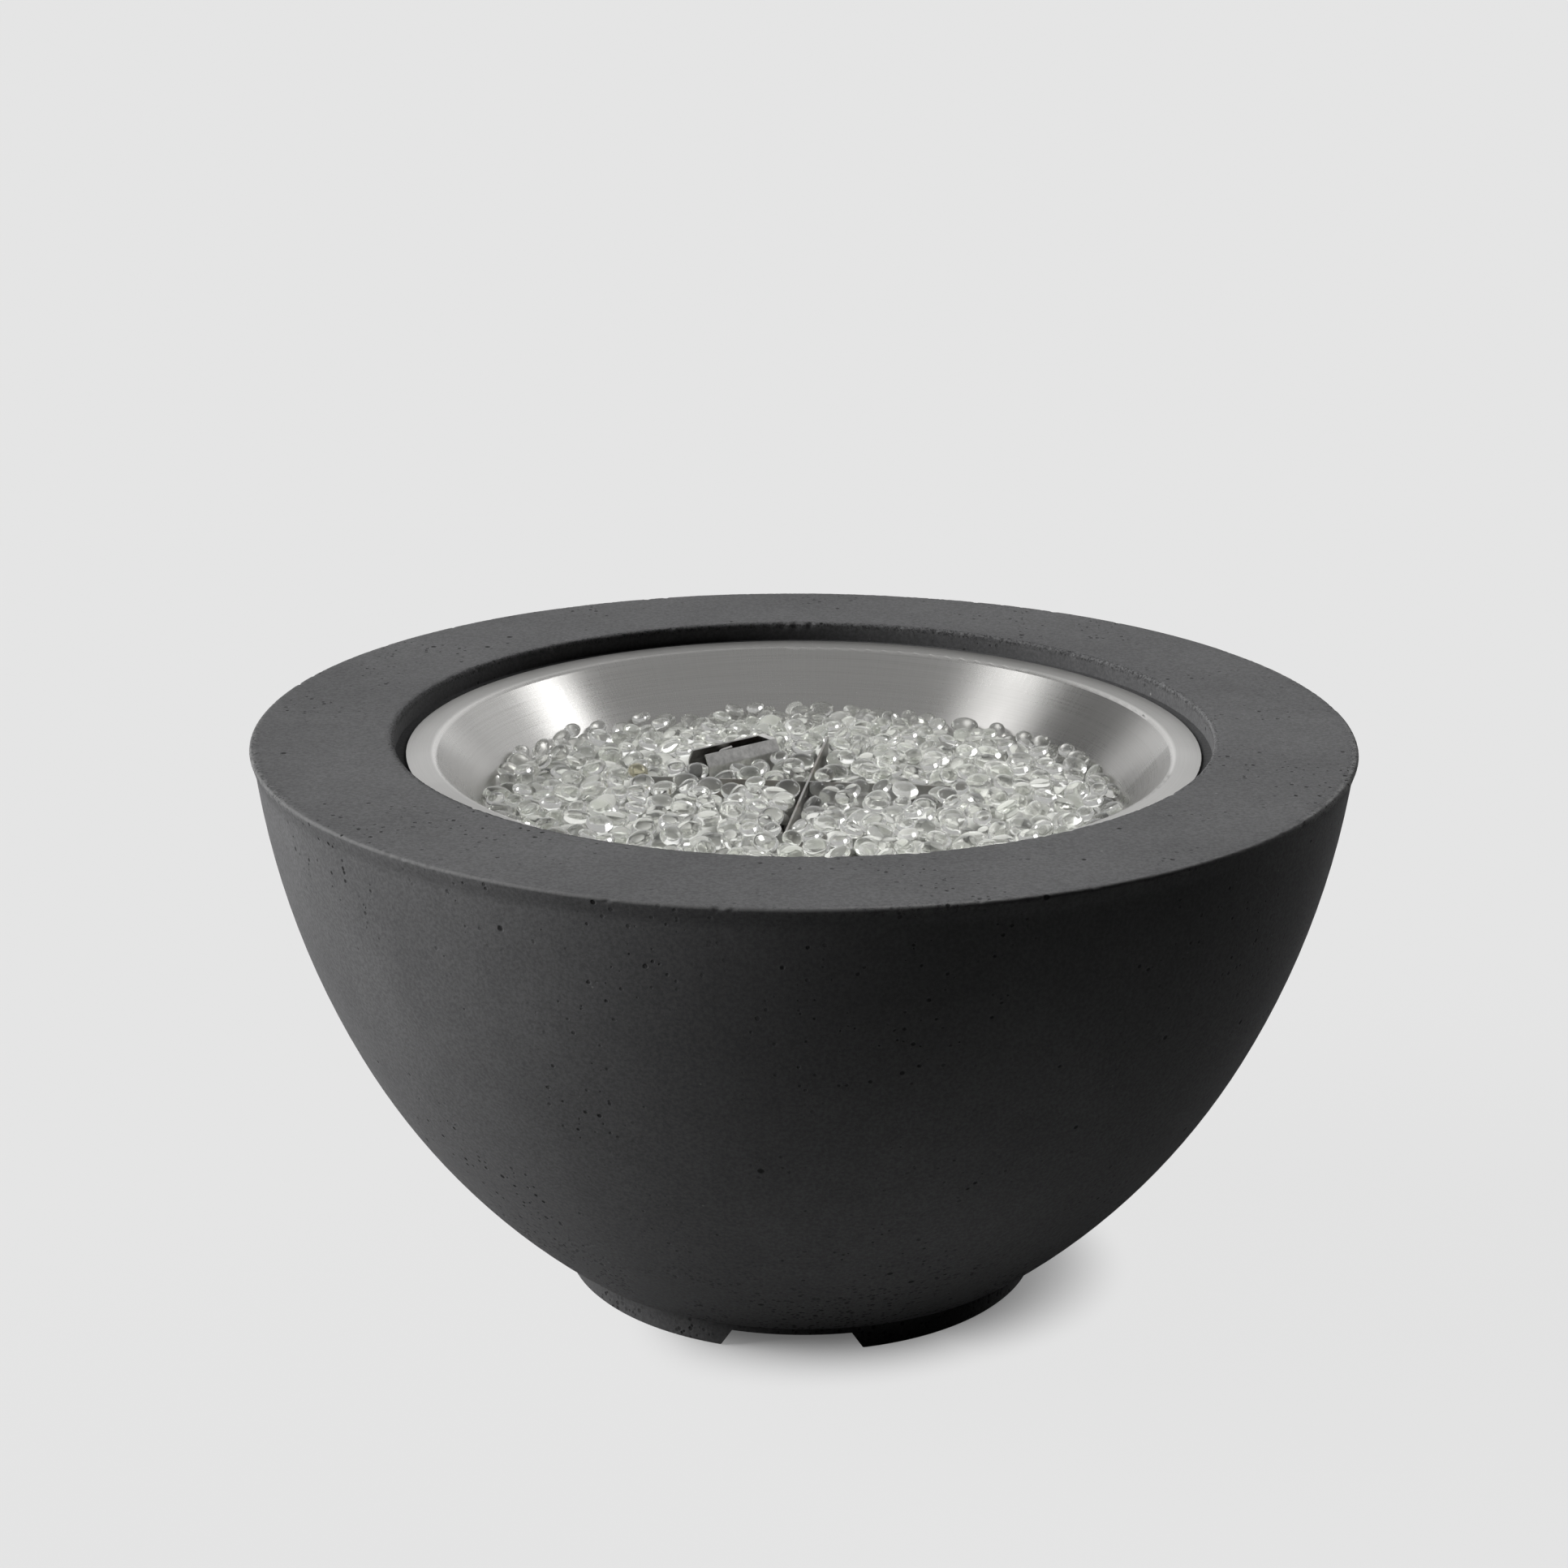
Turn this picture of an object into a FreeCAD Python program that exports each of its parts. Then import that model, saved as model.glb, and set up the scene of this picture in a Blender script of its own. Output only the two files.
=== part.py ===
import FreeCAD, Part
import math
import os

# Gas fire bowl: a cast concrete bowl that carries a drop-in stainless burner pan filled with
# glass gems, with its gas controls on a plate in a pocket at the back.
# Millimetres. Origin: bottom centre of the foot. +Z up, front -Y, controls at the back, +Y.

Vector = FreeCAD.Vector
UP = Vector(0, 0, 1)
DOWN = Vector(0, 0, -1)
BACK = Vector(0, 1, 0)
FRONT = Vector(0, -1, 0)
FULL_TURN = 360.0

# ---- concrete bowl
RIM_RADIUS = 377.4
RIM_FLARE = 2.8              # the rim's edge stands out this far beyond the wall
RIM_FLARE_HEIGHT = 12.5
BOWL_HEIGHT = 392.0
LEAN_AT_RIM = 5.3            # degrees from upright, where the wall meets the rim
LEAN_AT_FOOT = 51.9          # degrees from upright, where the wall meets the foot
CREASE_RADIUS = 182.8        # wall's outside radius where it meets the foot
WALL = 20.0
RIM_THICKNESS = 42.0
RIM_EDGE_ROUND = 2.0
MOUTH_RADIUS = 280.0
MOUTH_EDGE_ROUND = 2.5
PAN_SEAT_DEPTH = 13.5        # rim top to the ledge that the pan hangs on
FOOT_RADIUS = 167.0
FOOT_HEIGHT = 25.0
FOOT_EDGE_ROUND = 4.0
FOOT_BORE_RADIUS = 137.0
BASE_FLOOR_HEIGHT = 45.0     # flat ring inside the bowl, round the open bottom
NOTCH_COUNT = 3
NOTCH_FIRST_ANGLE = 267.7    # degrees, nearly straight ahead
NOTCH_WIDTH = 97.0           # at the floor
NOTCH_TOP_WIDTH = 81.0
NOTCH_HEIGHT = 12.5

# ---- burner pan
PAN_SHEET = 1.2
PAN_FLANGE_GAP = 7.8         # flange to the concrete round it
PAN_FLANGE_WIDTH = 18.9
PAN_DROP_GAP = 4.7           # pan mouth to the ledge's bore
PAN_DEPTH = 75.0             # flange top to floor
PAN_FLOOR_RADIUS = 188.0
PAN_FLANGE_BEND = 5.0
PAN_FLOOR_BEND = 20.0
DRAIN_RADIUS = 3.0
DRAIN_CIRCLE_RADIUS = 150.0
DRAIN_COUNT = 4
DRAIN_FIRST_ANGLE = 40.0

# ---- glass gem bed
GEM_HEIGHT_AT_WALL = 41.0    # above the pan's floor
GEM_HEIGHT_AT_CENTRE = 45.0
GEM_CLEARANCE = 0.4

# ---- four-armed burner and its cross of upright plates
CROSS_ANGLE = -5.5           # degrees, turned clockwise as seen from above
ARM_REACH = 92.0             # burner centre to the end of an arm
ARM_RADIUS = 11.0
ARM_WALL = 1.2
ARM_AXIS_HEIGHT = 19.0       # above the pan's floor
HUB_RADIUS = 16.0
HUB_TOP_DROP = 1.0           # hub's top below the arms' tops
STUB_RADIUS = 10.5
STUB_LENGTH = 24.0           # below the pan's floor
STUB_BORE_RADIUS = 8.0
PORT_RADIUS = 1.4
PORT_FIRST = 26.0            # burner centre to the first cross hole
PORT_PITCH = 12.0
PORTS_PER_ARM = 6
PLATE_SHEET = 1.5
PLATE_TOP_HEIGHT = 46.5      # above the pan's floor
PLATE_A_LENGTH = 218.0
PLATE_B_LENGTH = 221.0
PLATE_LEG_WIDTH = 10.0
PLATE_B_CROSSING = 3.2       # burner centre to the crossing, along plate A
PLATE_B_TURN = -2.3          # degrees off square to plate A
LAP_CLEARANCE = 0.1
HOLE_CLEARANCE = 0.3

# ---- fittings under the burner
BURNER_NUT_FLATS = 32.0
BURNER_NUT_HEIGHT = 7.0
GASKET_THICKNESS = 1.5
GASKET_RADIUS = 19.0
MIXER_RADIUS = 14.0
MIXER_ARM_RADIUS = 11.5
MIXER_FLOOR = 2.5            # elbow's underside below its level arm
MIXER_BORE_RADIUS = 8.5
MIXER_AXIS_DROP = 40.0       # below the pan's floor
MIXER_REACH = 72.0           # burner centre to the mixer's mouth
MIXER_WINDOW_LENGTH = 14.0
MIXER_WINDOW_HEIGHT = 8.0
MIXER_WINDOW_SETBACK = 8.0
SOCKET_CLEARANCE = 0.05
ORIFICE_RADIUS = 5.0
ORIFICE_FLATS = 17.0
ORIFICE_HEX_LENGTH = 8.0
ORIFICE_NOZZLE_LENGTH = 9.0
ORIFICE_BORE_RADIUS = 0.8
FLARE_RADIUS = 6.2
FLARE_LENGTH = 11.0

# ---- pilot group
PILOT_ANGLE = CROSS_ANGLE + 135.0
PILOT_RADIUS = 76.5          # bowl axis to the middle of the pilot hood
HOOD_LENGTH = 64.0
HOOD_WIDTH = 24.0
HOOD_SLOT = 15.0
HOOD_HEIGHT = 55.5           # above the pan's floor
HOOD_SHOULDER_HEIGHT = 47.0
HOOD_SHEET = 1.2
HOOD_BEND = 2.0
HOOD_BRIDGE = 5.5            # length of the slot's closed end
BRACKET_SHEET = 1.5
BRACKET_SIDE_GAP = 1.3       # bracket to the hood's side walls
BRACKET_END_GAP = 1.8        # bracket to the hood's end wall
BRACKET_SHELF_HEIGHT = 18.0
BRACKET_BEND = 1.5
BRACKET_FOOT_WIDTH = 9.0
ELECTRODE_OFFSET = -13.5     # along the hood from its middle
THERMOCOUPLE_OFFSET = 13.0
PILOT_BURNER_RADIUS = 4.5
PILOT_HEAD_RADIUS = 6.5
PILOT_HEAD_HEIGHT = 10.0
PILOT_HEAD_CAP = 2.0         # closed top of the head
PILOT_SLOT_WIDTH = 2.6
PILOT_TOP_HEIGHT = 48.0      # above the pan's floor
PILOT_DROP = 20.0            # pilot fittings reach this far below the pan's floor
THERMOCOUPLE_RADIUS = 3.0
THERMOCOUPLE_COLLAR_RADIUS = 4.5
THERMOCOUPLE_TOP_HEIGHT = 50.0
INSULATOR_RADIUS = 3.5
INSULATOR_COLLAR_RADIUS = 5.0
INSULATOR_COLLAR_LENGTH = 5.0
INSULATOR_TOP_HEIGHT = 40.0
ELECTRODE_RADIUS = 1.2
ELECTRODE_RISE = 12.5        # straight part above the insulator
ELECTRODE_REACH = 11.0       # tip's sideways reach over the pilot head
ELECTRODE_TIP_RISE = 1.0
ELECTRODE_BEND = 3.0
PILOT_SCREW_RADIUS = 1.75
PILOT_SCREW_HEAD_RADIUS = 2.6
PILOT_SCREW_INSET = 3.3      # screw axis to the end of the bracket's foot
PILOT_SCREW_HEAD_HEIGHT = 1.8
PILOT_SCREW_LENGTH = 5.0

# ---- control panel at the back
PANEL_DROP = 127.0           # rim top to the panel's middle
PANEL_WIDTH = 160.0
PANEL_HEIGHT = 84.0
PANEL_SHEET = 2.0
PANEL_CORNER_ROUND = 6.0
PANEL_INSET = 8.0            # behind the concrete's face at the pocket's lower corners
POCKET_GAP = 2.0
BOSS_BORDER = 16.0           # concrete round the pocket, inside the bowl
BOSS_DEPTH = 22.0            # concrete behind the panel
WINDOW_BORDER = 13.0         # panel edge that lies on the concrete
PANEL_SCREW_INSET = 7.0
PANEL_SCREW_RADIUS = 2.0
PANEL_SCREW_LENGTH = 11.0
PANEL_SCREW_HEAD_RADIUS = 3.8
PANEL_SCREW_HEAD_HEIGHT = 2.3
INSERT_RADIUS = 3.2
INSERT_LENGTH = 12.0
THREAD_CLEARANCE = 0.05

# ---- gas valve and its knob
PUSH_TRAVEL = 5.0            # of the knob, and of the igniter's button
VALVE_X = 30.0
VALVE_WIDTH = 70.0
VALVE_HEIGHT = 36.0
VALVE_DEPTH = 40.0
VALVE_EDGE_ROUND = 3.0
NECK_RADIUS = 8.0
NECK_REACH = 6.0             # in front of the panel
VALVE_NUT_FLATS = 21.0
VALVE_NUT_HEIGHT = 4.0
STEM_RADIUS = 4.0
STEM_FLAT_DEPTH = 1.2
RUNNING_CLEARANCE = 0.08
CAVITY_RADIUS = 7.0
CAVITY_SETBACK = 6.0
CAVITY_LENGTH = 20.0
PLUNGER_THICKNESS = 3.0
PLUNGER_HUB_RADIUS = 3.0
PLUNGER_HUB_LENGTH = 5.0
PLUNGER_GAP = 0.3
KNOB_RADIUS = 21.0
KNOB_LENGTH = 22.0
KNOB_GAP = 1.5               # knob's back to the end of the valve's neck
KNOB_RECESS_RADIUS = 15.0
KNOB_RECESS_DEPTH = PUSH_TRAVEL + 2.0   # takes the valve's neck when the knob is pushed in
KNOB_BORE_DEPTH = 13.0
KNOB_EDGE_ROUND = 2.5
KNOB_FLUTE_COUNT = 14
KNOB_FLUTE_RADIUS = 2.6
KNOB_FLUTE_DEPTH = 1.0
KNOB_SKIRT = 4.0             # plain band behind the flutes
KNOB_MARK_WIDTH = 2.0
KNOB_MARK_DEPTH = 0.8
KNOB_MARK_START = 7.0        # from the knob's axis
SET_SCREW_RADIUS = 2.0
SET_SCREW_LENGTH = 9.0
VALVE_PORT_X = {"pilot": -26.0, "thermocouple": -13.0, "outlet": 2.0, "inlet": 26.0}
VALVE_PORT_Z = {"pilot": 6.0, "thermocouple": 6.0, "outlet": -6.0, "inlet": -6.0}
SMALL_PORT_RADIUS = 5.0
SMALL_PORT_LENGTH = 9.0
LARGE_PORT_RADIUS = 7.0
LARGE_PORT_LENGTH = 9.0

# ---- push-button igniter
IGNITER_X = -45.0
BARREL_RADIUS = 9.5
BARREL_BORE_RADIUS = 7.6
BARREL_LENGTH = 66.0         # behind the panel's face
BARREL_END_WALL = 2.0
COLLAR_RADIUS = 13.5
COLLAR_HEIGHT = 3.0
IGNITER_NUT_FLATS = 25.0
IGNITER_NUT_HEIGHT = 5.0
BUTTON_CLEARANCE = 0.3
BUTTON_PROUD = PUSH_TRAVEL + 2.0
BUTTON_DEPTH = 6.0           # inside the barrel, behind the collar's face
BUTTON_EDGE_ROUND = 1.5
BATTERY_RADIUS = 7.2
BATTERY_LENGTH = 50.0
BATTERY_TIP_RADIUS = 2.7
BATTERY_TIP_LENGTH = 1.2
TERMINAL_RADIUS = 2.5
TERMINAL_LENGTH = 8.0

# ---- gas and pilot lines inside the bowl
HOSE_RADIUS = 6.5
HOSE_NUT_FLATS = 19.0
HOSE_NUT_LENGTH = 15.0
PILOT_LINE_RADIUS = 2.0
THERMOCOUPLE_LEAD_RADIUS = 1.6
WIRE_RADIUS = 1.5
SMALL_LINE_DROP = 20.0       # straight down from the pilot fittings
SMALL_LINE_END_RUN = 26.0    # straight into the valve or the igniter
SMALL_LINE_TURN_X = 0.15     # first corner's share of the way across to the port
SMALL_LINE_TURN_Y = 0.2      # and of the way back to it
SMALL_LINE_TURN_DROP = 0.8   # first corner's share of the sag
SMALL_LINE_LOW_SHARE = 0.6   # lowest corner's share of the way to the port
PILOT_LINE_SAG = 16.0
THERMOCOUPLE_LEAD_SAG = 9.0
WIRE_SAG = 20.0
HOSE_END_RUN = 26.0
HOSE_SAG = 22.0
CORD_ARC_SHARE = 0.45        # share of the shorter run that an arc takes up at each side

# ---- gas inlet near the open bottom
INLET_X = 45.0
INLET_Y = 118.0
INLET_SHEET = 2.5
INLET_BEND = 4.0
INLET_BRACKET_WIDTH = 34.0
INLET_BRACKET_RISE = 30.0
INLET_BRACKET_SETBACK = 4.0  # bracket's foot behind the edge of the open bottom
INLET_FOOT_GAP = 2.0         # end of the bracket's foot to the bowl's inner wall
INLET_SHELF_TIP = 20.0       # shelf's end beyond the fitting's axis
INLET_BODY_RADIUS = 8.7      # through the shelf and its nut
INLET_THREAD_RADIUS = 7.9
INLET_THREAD_LENGTH = 13.0   # free end, below the nut
INLET_BORE_RADIUS = 4.0
INLET_FLATS = 22.0
INLET_HEX_LENGTH = 8.0
INLET_TAIL_LENGTH = 8.0
INLET_NUT_HEIGHT = 5.0
INLET_SCREW_RADIUS = 2.5
INLET_SCREW_LENGTH = 16.0
INLET_SCREW_HEAD_RADIUS = 4.5
INLET_SCREW_HEAD_HEIGHT = 2.6
INLET_SCREW_SPACING = 20.0
INLET_LINE_RISE = 105.0
INLET_LINE_RUN = 37.0

# ---- places worked out from the sizes
BRACKET_LENGTH = HOOD_LENGTH - 2 * (HOOD_SHEET + BRACKET_END_GAP)
BRACKET_WIDTH = HOOD_WIDTH - 2 * (HOOD_SHEET + BRACKET_SIDE_GAP)
PAN_TOP = BOWL_HEIGHT - PAN_SEAT_DEPTH + PAN_SHEET
PAN_FLOOR = PAN_TOP - PAN_DEPTH
PAN_UNDERSIDE = PAN_FLOOR - PAN_SHEET
PAN_FLANGE_RADIUS = MOUTH_RADIUS - PAN_FLANGE_GAP
PAN_MOUTH_RADIUS = PAN_FLANGE_RADIUS - PAN_FLANGE_WIDTH
LEDGE_RADIUS = PAN_MOUTH_RADIUS + PAN_DROP_GAP
STUB_HOLE_RADIUS = STUB_RADIUS + HOLE_CLEARANCE
PANEL_Z = BOWL_HEIGHT - PANEL_DROP
ARM_TOP = PAN_FLOOR + ARM_AXIS_HEIGHT + ARM_RADIUS
MIXER_Z = PAN_FLOOR - MIXER_AXIS_DROP


# ---------------------------------------------------------------- drawing helpers
def line(start, end):
    return Part.LineSegment(start, end).toShape()


def arc(start, middle, end):
    return Part.Arc(start, middle, end).toShape()


def unit(vector):
    return vector * (1.0 / vector.Length)


def section_point(radius, height):
    return Vector(radius, 0, height)


def corner_arc(before, corner, after, radius):
    """Start, middle and end of the arc that rounds the corner of two straight runs."""
    towards_before = unit(before - corner)
    towards_after = unit(after - corner)
    half_angle = 0.5 * towards_before.getAngle(towards_after)
    bisector = unit(towards_before + towards_after)
    centre = corner + bisector * (radius / math.sin(half_angle))
    setback = radius / math.tan(half_angle)
    return corner + towards_before * setback, centre - bisector * radius, corner + towards_after * setback


def rounded_path(points, radii):
    """Edges along the points. Each inner point has a radius, and zero leaves it sharp."""
    edges = []
    here = points[0]
    for before, corner, after, radius in zip(points, points[1:], points[2:], radii):
        if radius > 0:
            start, middle, end = corner_arc(before, corner, after, radius)
            edges.append(line(here, start))
            edges.append(arc(start, middle, end))
            here = end
        else:
            edges.append(line(here, corner))
            here = corner
    edges.append(line(here, points[-1]))
    return edges


def face_of(edges):
    return Part.Face(Part.Wire(Part.__sortEdges__(edges)))


def polygon_face(points):
    return Part.Face(Part.makePolygon(list(points) + [points[0]]))


def revolved(face):
    return face.revolve(Vector(0, 0, 0), UP, FULL_TURN)


def left_of(start, end):
    """Unit vector to the left of a run in the X-Z plane, as seen from the front."""
    run = unit(end - start)
    return Vector(-run.z, 0, run.x)


def offset_points(points, distance):
    """The path's corners after every run has moved to its left by the distance."""
    sides = [left_of(start, end) for start, end in zip(points, points[1:])]
    moved = [points[0] + sides[0] * distance]
    for corner, before, after in zip(points[1:-1], sides, sides[1:]):
        moved.append(corner + (before + after) * (distance / (1.0 + before.dot(after))))
    moved.append(points[-1] + sides[-1] * distance)
    return moved


def offset_radii(points, radii, distance):
    """The corner radii that keep the moved path concentric with the first one."""
    moved = []
    for before, corner, after, radius in zip(points, points[1:], points[2:], radii):
        turns_left = left_of(before, corner).dot(after - corner) > 0
        moved.append(radius - distance if turns_left else radius + distance)
    return moved


def sheet_face(points, radii, thickness):
    """Section of a bent sheet: one skin along the points, the other skin to their left."""
    far_points = offset_points(points, thickness)
    far_radii = offset_radii(points, radii, thickness)
    edges = rounded_path(points, radii) + rounded_path(far_points, far_radii)
    edges.append(line(points[0], far_points[0]))
    edges.append(line(points[-1], far_points[-1]))
    return face_of(edges)


def cylinder(radius, length, start, direction):
    return Part.makeCylinder(radius, length, start, direction)


def tube(radius, bore, length, start, direction):
    return cylinder(radius, length, start, direction).cut(cylinder(bore, length, start, direction))


def hexagon(across_flats, length, start, direction):
    corner_radius = across_flats / math.sqrt(3.0)
    angles = [math.radians(60.0 * side) for side in range(6)]
    corners = [Vector(corner_radius * math.cos(a), corner_radius * math.sin(a), 0) for a in angles]
    prism = polygon_face(corners).extrude(UP * length)
    prism.Placement = FreeCAD.Placement(start, FreeCAD.Rotation(UP, direction))
    return prism


def nut(across_flats, bore, height, start, direction):
    return hexagon(across_flats, height, start, direction).cut(cylinder(bore, height, start, direction))


def block(low, high):
    return Part.makeBox(high.x - low.x, high.y - low.y, high.z - low.z, low)


def screw(shank_radius, shank_length, head_radius, head_height, seat, direction):
    """A screw whose head sits on the seat point; the direction is the way it is driven."""
    head = cylinder(head_radius, head_height, seat - direction * head_height, direction)
    shank = cylinder(shank_radius, shank_length, seat, direction)
    return head.fuse(shank).removeSplitter()


def turned(shape, angle):
    copy = shape.copy()
    copy.rotate(Vector(0, 0, 0), UP, angle)
    return copy


# ---------------------------------------------------------------- bowl outline
def biarc(top, bottom, top_lean, bottom_lean):
    """Two arcs, tangent to each other, from top to bottom with the given leans from upright.

    Each arc is (centre, radius). The third value is the lean where they meet.
    """
    down_top = Vector(-math.sin(top_lean), 0, -math.cos(top_lean))
    down_bottom = Vector(-math.sin(bottom_lean), 0, -math.cos(bottom_lean))
    chord = bottom - top
    bend = 2.0 * (1.0 - down_top.dot(down_bottom))
    along = chord.dot(down_top + down_bottom)
    handle = (math.sqrt(along * along + bend * chord.dot(chord)) - along) / bend
    meeting = (top + down_top * handle + bottom - down_bottom * handle) * 0.5
    arcs = []
    for point, lean in ((top, top_lean), (bottom, bottom_lean)):
        outward = Vector(math.cos(lean), 0, -math.sin(lean))
        reach = meeting - point
        radius = -reach.dot(reach) / (2.0 * reach.dot(outward))
        arcs.append((point - outward * radius, radius))
    from_centre = meeting - arcs[0][0]
    return arcs[0], arcs[1], math.atan2(-from_centre.z, from_centre.x)


UPPER_ARC, LOWER_ARC, MEETING_LEAN = biarc(
    section_point(RIM_RADIUS - RIM_FLARE, BOWL_HEIGHT),
    section_point(CREASE_RADIUS, FOOT_HEIGHT),
    math.radians(LEAN_AT_RIM),
    math.radians(LEAN_AT_FOOT),
)


def wall_point(bowl_arc, lean, inset):
    centre, radius = bowl_arc
    return centre + Vector(math.cos(lean), 0, -math.sin(lean)) * (radius - inset)


def lean_at(bowl_arc, height, inset):
    centre, radius = bowl_arc
    return math.asin((centre.z - height) / (radius - inset))


def wall_arc(bowl_arc, lean_from, lean_to, inset):
    middle = 0.5 * (lean_from + lean_to)
    return arc(*[wall_point(bowl_arc, lean, inset) for lean in (lean_from, middle, lean_to)])


def outside_radius(height):
    """The bowl's outside radius at a height above the foot."""
    meeting_height = wall_point(UPPER_ARC, MEETING_LEAN, 0).z
    bowl_arc = UPPER_ARC if height > meeting_height else LOWER_ARC
    return wall_point(bowl_arc, lean_at(bowl_arc, height, 0), 0).x


INNER_FLOOR_RADIUS = wall_point(LOWER_ARC, lean_at(LOWER_ARC, BASE_FLOOR_HEIGHT, WALL), WALL).x
INLET_FOOT_START = FOOT_BORE_RADIUS + INLET_BRACKET_SETBACK
INLET_FOOT_END = math.sqrt(
    INNER_FLOOR_RADIUS ** 2 - (INLET_X + INLET_BRACKET_WIDTH / 2) ** 2
) - INLET_FOOT_GAP
PANEL_FACE_Y = math.sqrt(
    outside_radius(PANEL_Z - PANEL_HEIGHT / 2 - POCKET_GAP) ** 2 - (PANEL_WIDTH / 2 + POCKET_GAP) ** 2
) - PANEL_INSET
PANEL_BACK_Y = PANEL_FACE_Y - PANEL_SHEET
VALVE_REAR_Y = PANEL_BACK_Y - VALVE_DEPTH
NECK_END_Y = PANEL_FACE_Y + NECK_REACH
KNOB_BACK_Y = NECK_END_Y + KNOB_GAP
CAVITY_FRONT_Y = PANEL_BACK_Y - CAVITY_SETBACK
STEM_BACK_Y = CAVITY_FRONT_Y - PLUNGER_GAP
PLUNGER_FRONT_Y = STEM_BACK_Y - PLUNGER_GAP
STEM_FRONT_Y = KNOB_BACK_Y + KNOB_BORE_DEPTH - PLUNGER_GAP
BARREL_REAR_Y = PANEL_FACE_Y - BARREL_LENGTH


# ---------------------------------------------------------------- concrete bowl
def rim_points():
    """From the rim's outer corner down its flare to the wall."""
    flare_lean = lean_at(UPPER_ARC, BOWL_HEIGHT - RIM_FLARE_HEIGHT, 0)
    return [section_point(RIM_RADIUS, BOWL_HEIGHT), wall_point(UPPER_ARC, flare_lean, 0)], flare_lean


def shell_section():
    """Half section of the bowl: rim, ledge, hollow wall and foot ring."""
    rim, flare_lean = rim_points()
    rim_under = BOWL_HEIGHT - RIM_THICKNESS
    inner_top_lean = lean_at(UPPER_ARC, rim_under, WALL)
    inner_low_lean = lean_at(LOWER_ARC, BASE_FLOOR_HEIGHT, WALL)
    outer = [
        wall_arc(UPPER_ARC, flare_lean, MEETING_LEAN, 0),
        wall_arc(LOWER_ARC, MEETING_LEAN, math.radians(LEAN_AT_FOOT), 0),
    ]
    foot_points = [
        section_point(CREASE_RADIUS, FOOT_HEIGHT),
        section_point(FOOT_RADIUS, FOOT_HEIGHT),
        section_point(FOOT_RADIUS, 0),
        section_point(FOOT_BORE_RADIUS, 0),
        section_point(FOOT_BORE_RADIUS, BASE_FLOOR_HEIGHT),
        wall_point(LOWER_ARC, inner_low_lean, WALL),
    ]
    inner = [
        wall_arc(LOWER_ARC, MEETING_LEAN, inner_low_lean, WALL),
        wall_arc(UPPER_ARC, inner_top_lean, MEETING_LEAN, WALL),
    ]
    mouth_points = [
        wall_point(UPPER_ARC, inner_top_lean, WALL),
        section_point(LEDGE_RADIUS, rim_under),
        section_point(LEDGE_RADIUS, BOWL_HEIGHT - PAN_SEAT_DEPTH),
        section_point(MOUTH_RADIUS, BOWL_HEIGHT - PAN_SEAT_DEPTH),
        section_point(MOUTH_RADIUS, BOWL_HEIGHT),
    ] + rim
    foot = rounded_path(foot_points, [0, FOOT_EDGE_ROUND, 0, 0])
    mouth = rounded_path(mouth_points, [0, 0, 0, MOUTH_EDGE_ROUND, RIM_EDGE_ROUND])
    return face_of(outer + foot + inner + mouth)


def outer_blank():
    """The bowl's outside as a solid without its hollow, above the foot."""
    rim, flare_lean = rim_points()
    edges = [
        wall_arc(UPPER_ARC, flare_lean, MEETING_LEAN, 0),
        wall_arc(LOWER_ARC, MEETING_LEAN, math.radians(LEAN_AT_FOOT), 0),
    ]
    edges += rounded_path(
        [
            section_point(CREASE_RADIUS, FOOT_HEIGHT),
            section_point(0, FOOT_HEIGHT),
            section_point(0, BOWL_HEIGHT),
        ] + rim,
        [0, 0, RIM_EDGE_ROUND],
    )
    return revolved(face_of(edges))


def panel_block(border, back_y, front_y, corner_round):
    """A block behind or in front of the panel, wider than it by the border on every side."""
    half_width = PANEL_WIDTH / 2 + border
    half_height = PANEL_HEIGHT / 2 + border
    low = Vector(-half_width, back_y, PANEL_Z - half_height)
    high = Vector(half_width, front_y, PANEL_Z + half_height)
    shape = block(low, high)
    if corner_round > 0:
        along_y = [e for e in shape.Edges if abs(e.tangentAt(e.FirstParameter).y) > 0.99]
        shape = shape.makeFillet(corner_round, along_y)
    return shape


def foot_notches():
    """Wedges that cut hose and drain gaps through the foot ring."""
    start = -(FOOT_RADIUS + WALL)
    half_floor = NOTCH_WIDTH / 2
    half_top = NOTCH_TOP_WIDTH / 2
    corners = [
        Vector(-half_floor, start, 0),
        Vector(half_floor, start, 0),
        Vector(half_top, start, NOTCH_HEIGHT),
        Vector(-half_top, start, NOTCH_HEIGHT),
    ]
    wedge = polygon_face(corners).extrude(BACK * (FOOT_RADIUS + WALL - FOOT_BORE_RADIUS / 2))
    pitch = FULL_TURN / NOTCH_COUNT
    front_angle = 270.0
    return [turned(wedge, NOTCH_FIRST_ANGLE - front_angle + n * pitch) for n in range(NOTCH_COUNT)]


def panel_corners(inset):
    """Points on the panel's face, one in each corner."""
    half_width = PANEL_WIDTH / 2 - inset
    half_height = PANEL_HEIGHT / 2 - inset
    return [
        Vector(x, PANEL_FACE_Y, PANEL_Z + z)
        for x in (-half_width, half_width)
        for z in (-half_height, half_height)
    ]


def panel_seats():
    """The points behind the panel where its screws enter the concrete."""
    return [Vector(p.x, PANEL_BACK_Y, p.z) for p in panel_corners(PANEL_SCREW_INSET)]


def inlet_screw_points():
    """Where the inlet bracket's screws go into the bowl's inner floor."""
    bend_end = INLET_FOOT_START + INLET_BEND + INLET_SHEET
    foot_middle = 0.5 * (bend_end + INLET_FOOT_END)
    return [
        Vector(INLET_X + side * INLET_SCREW_SPACING / 2, foot_middle, BASE_FLOOR_HEIGHT)
        for side in (-1, 1)
    ]


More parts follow.
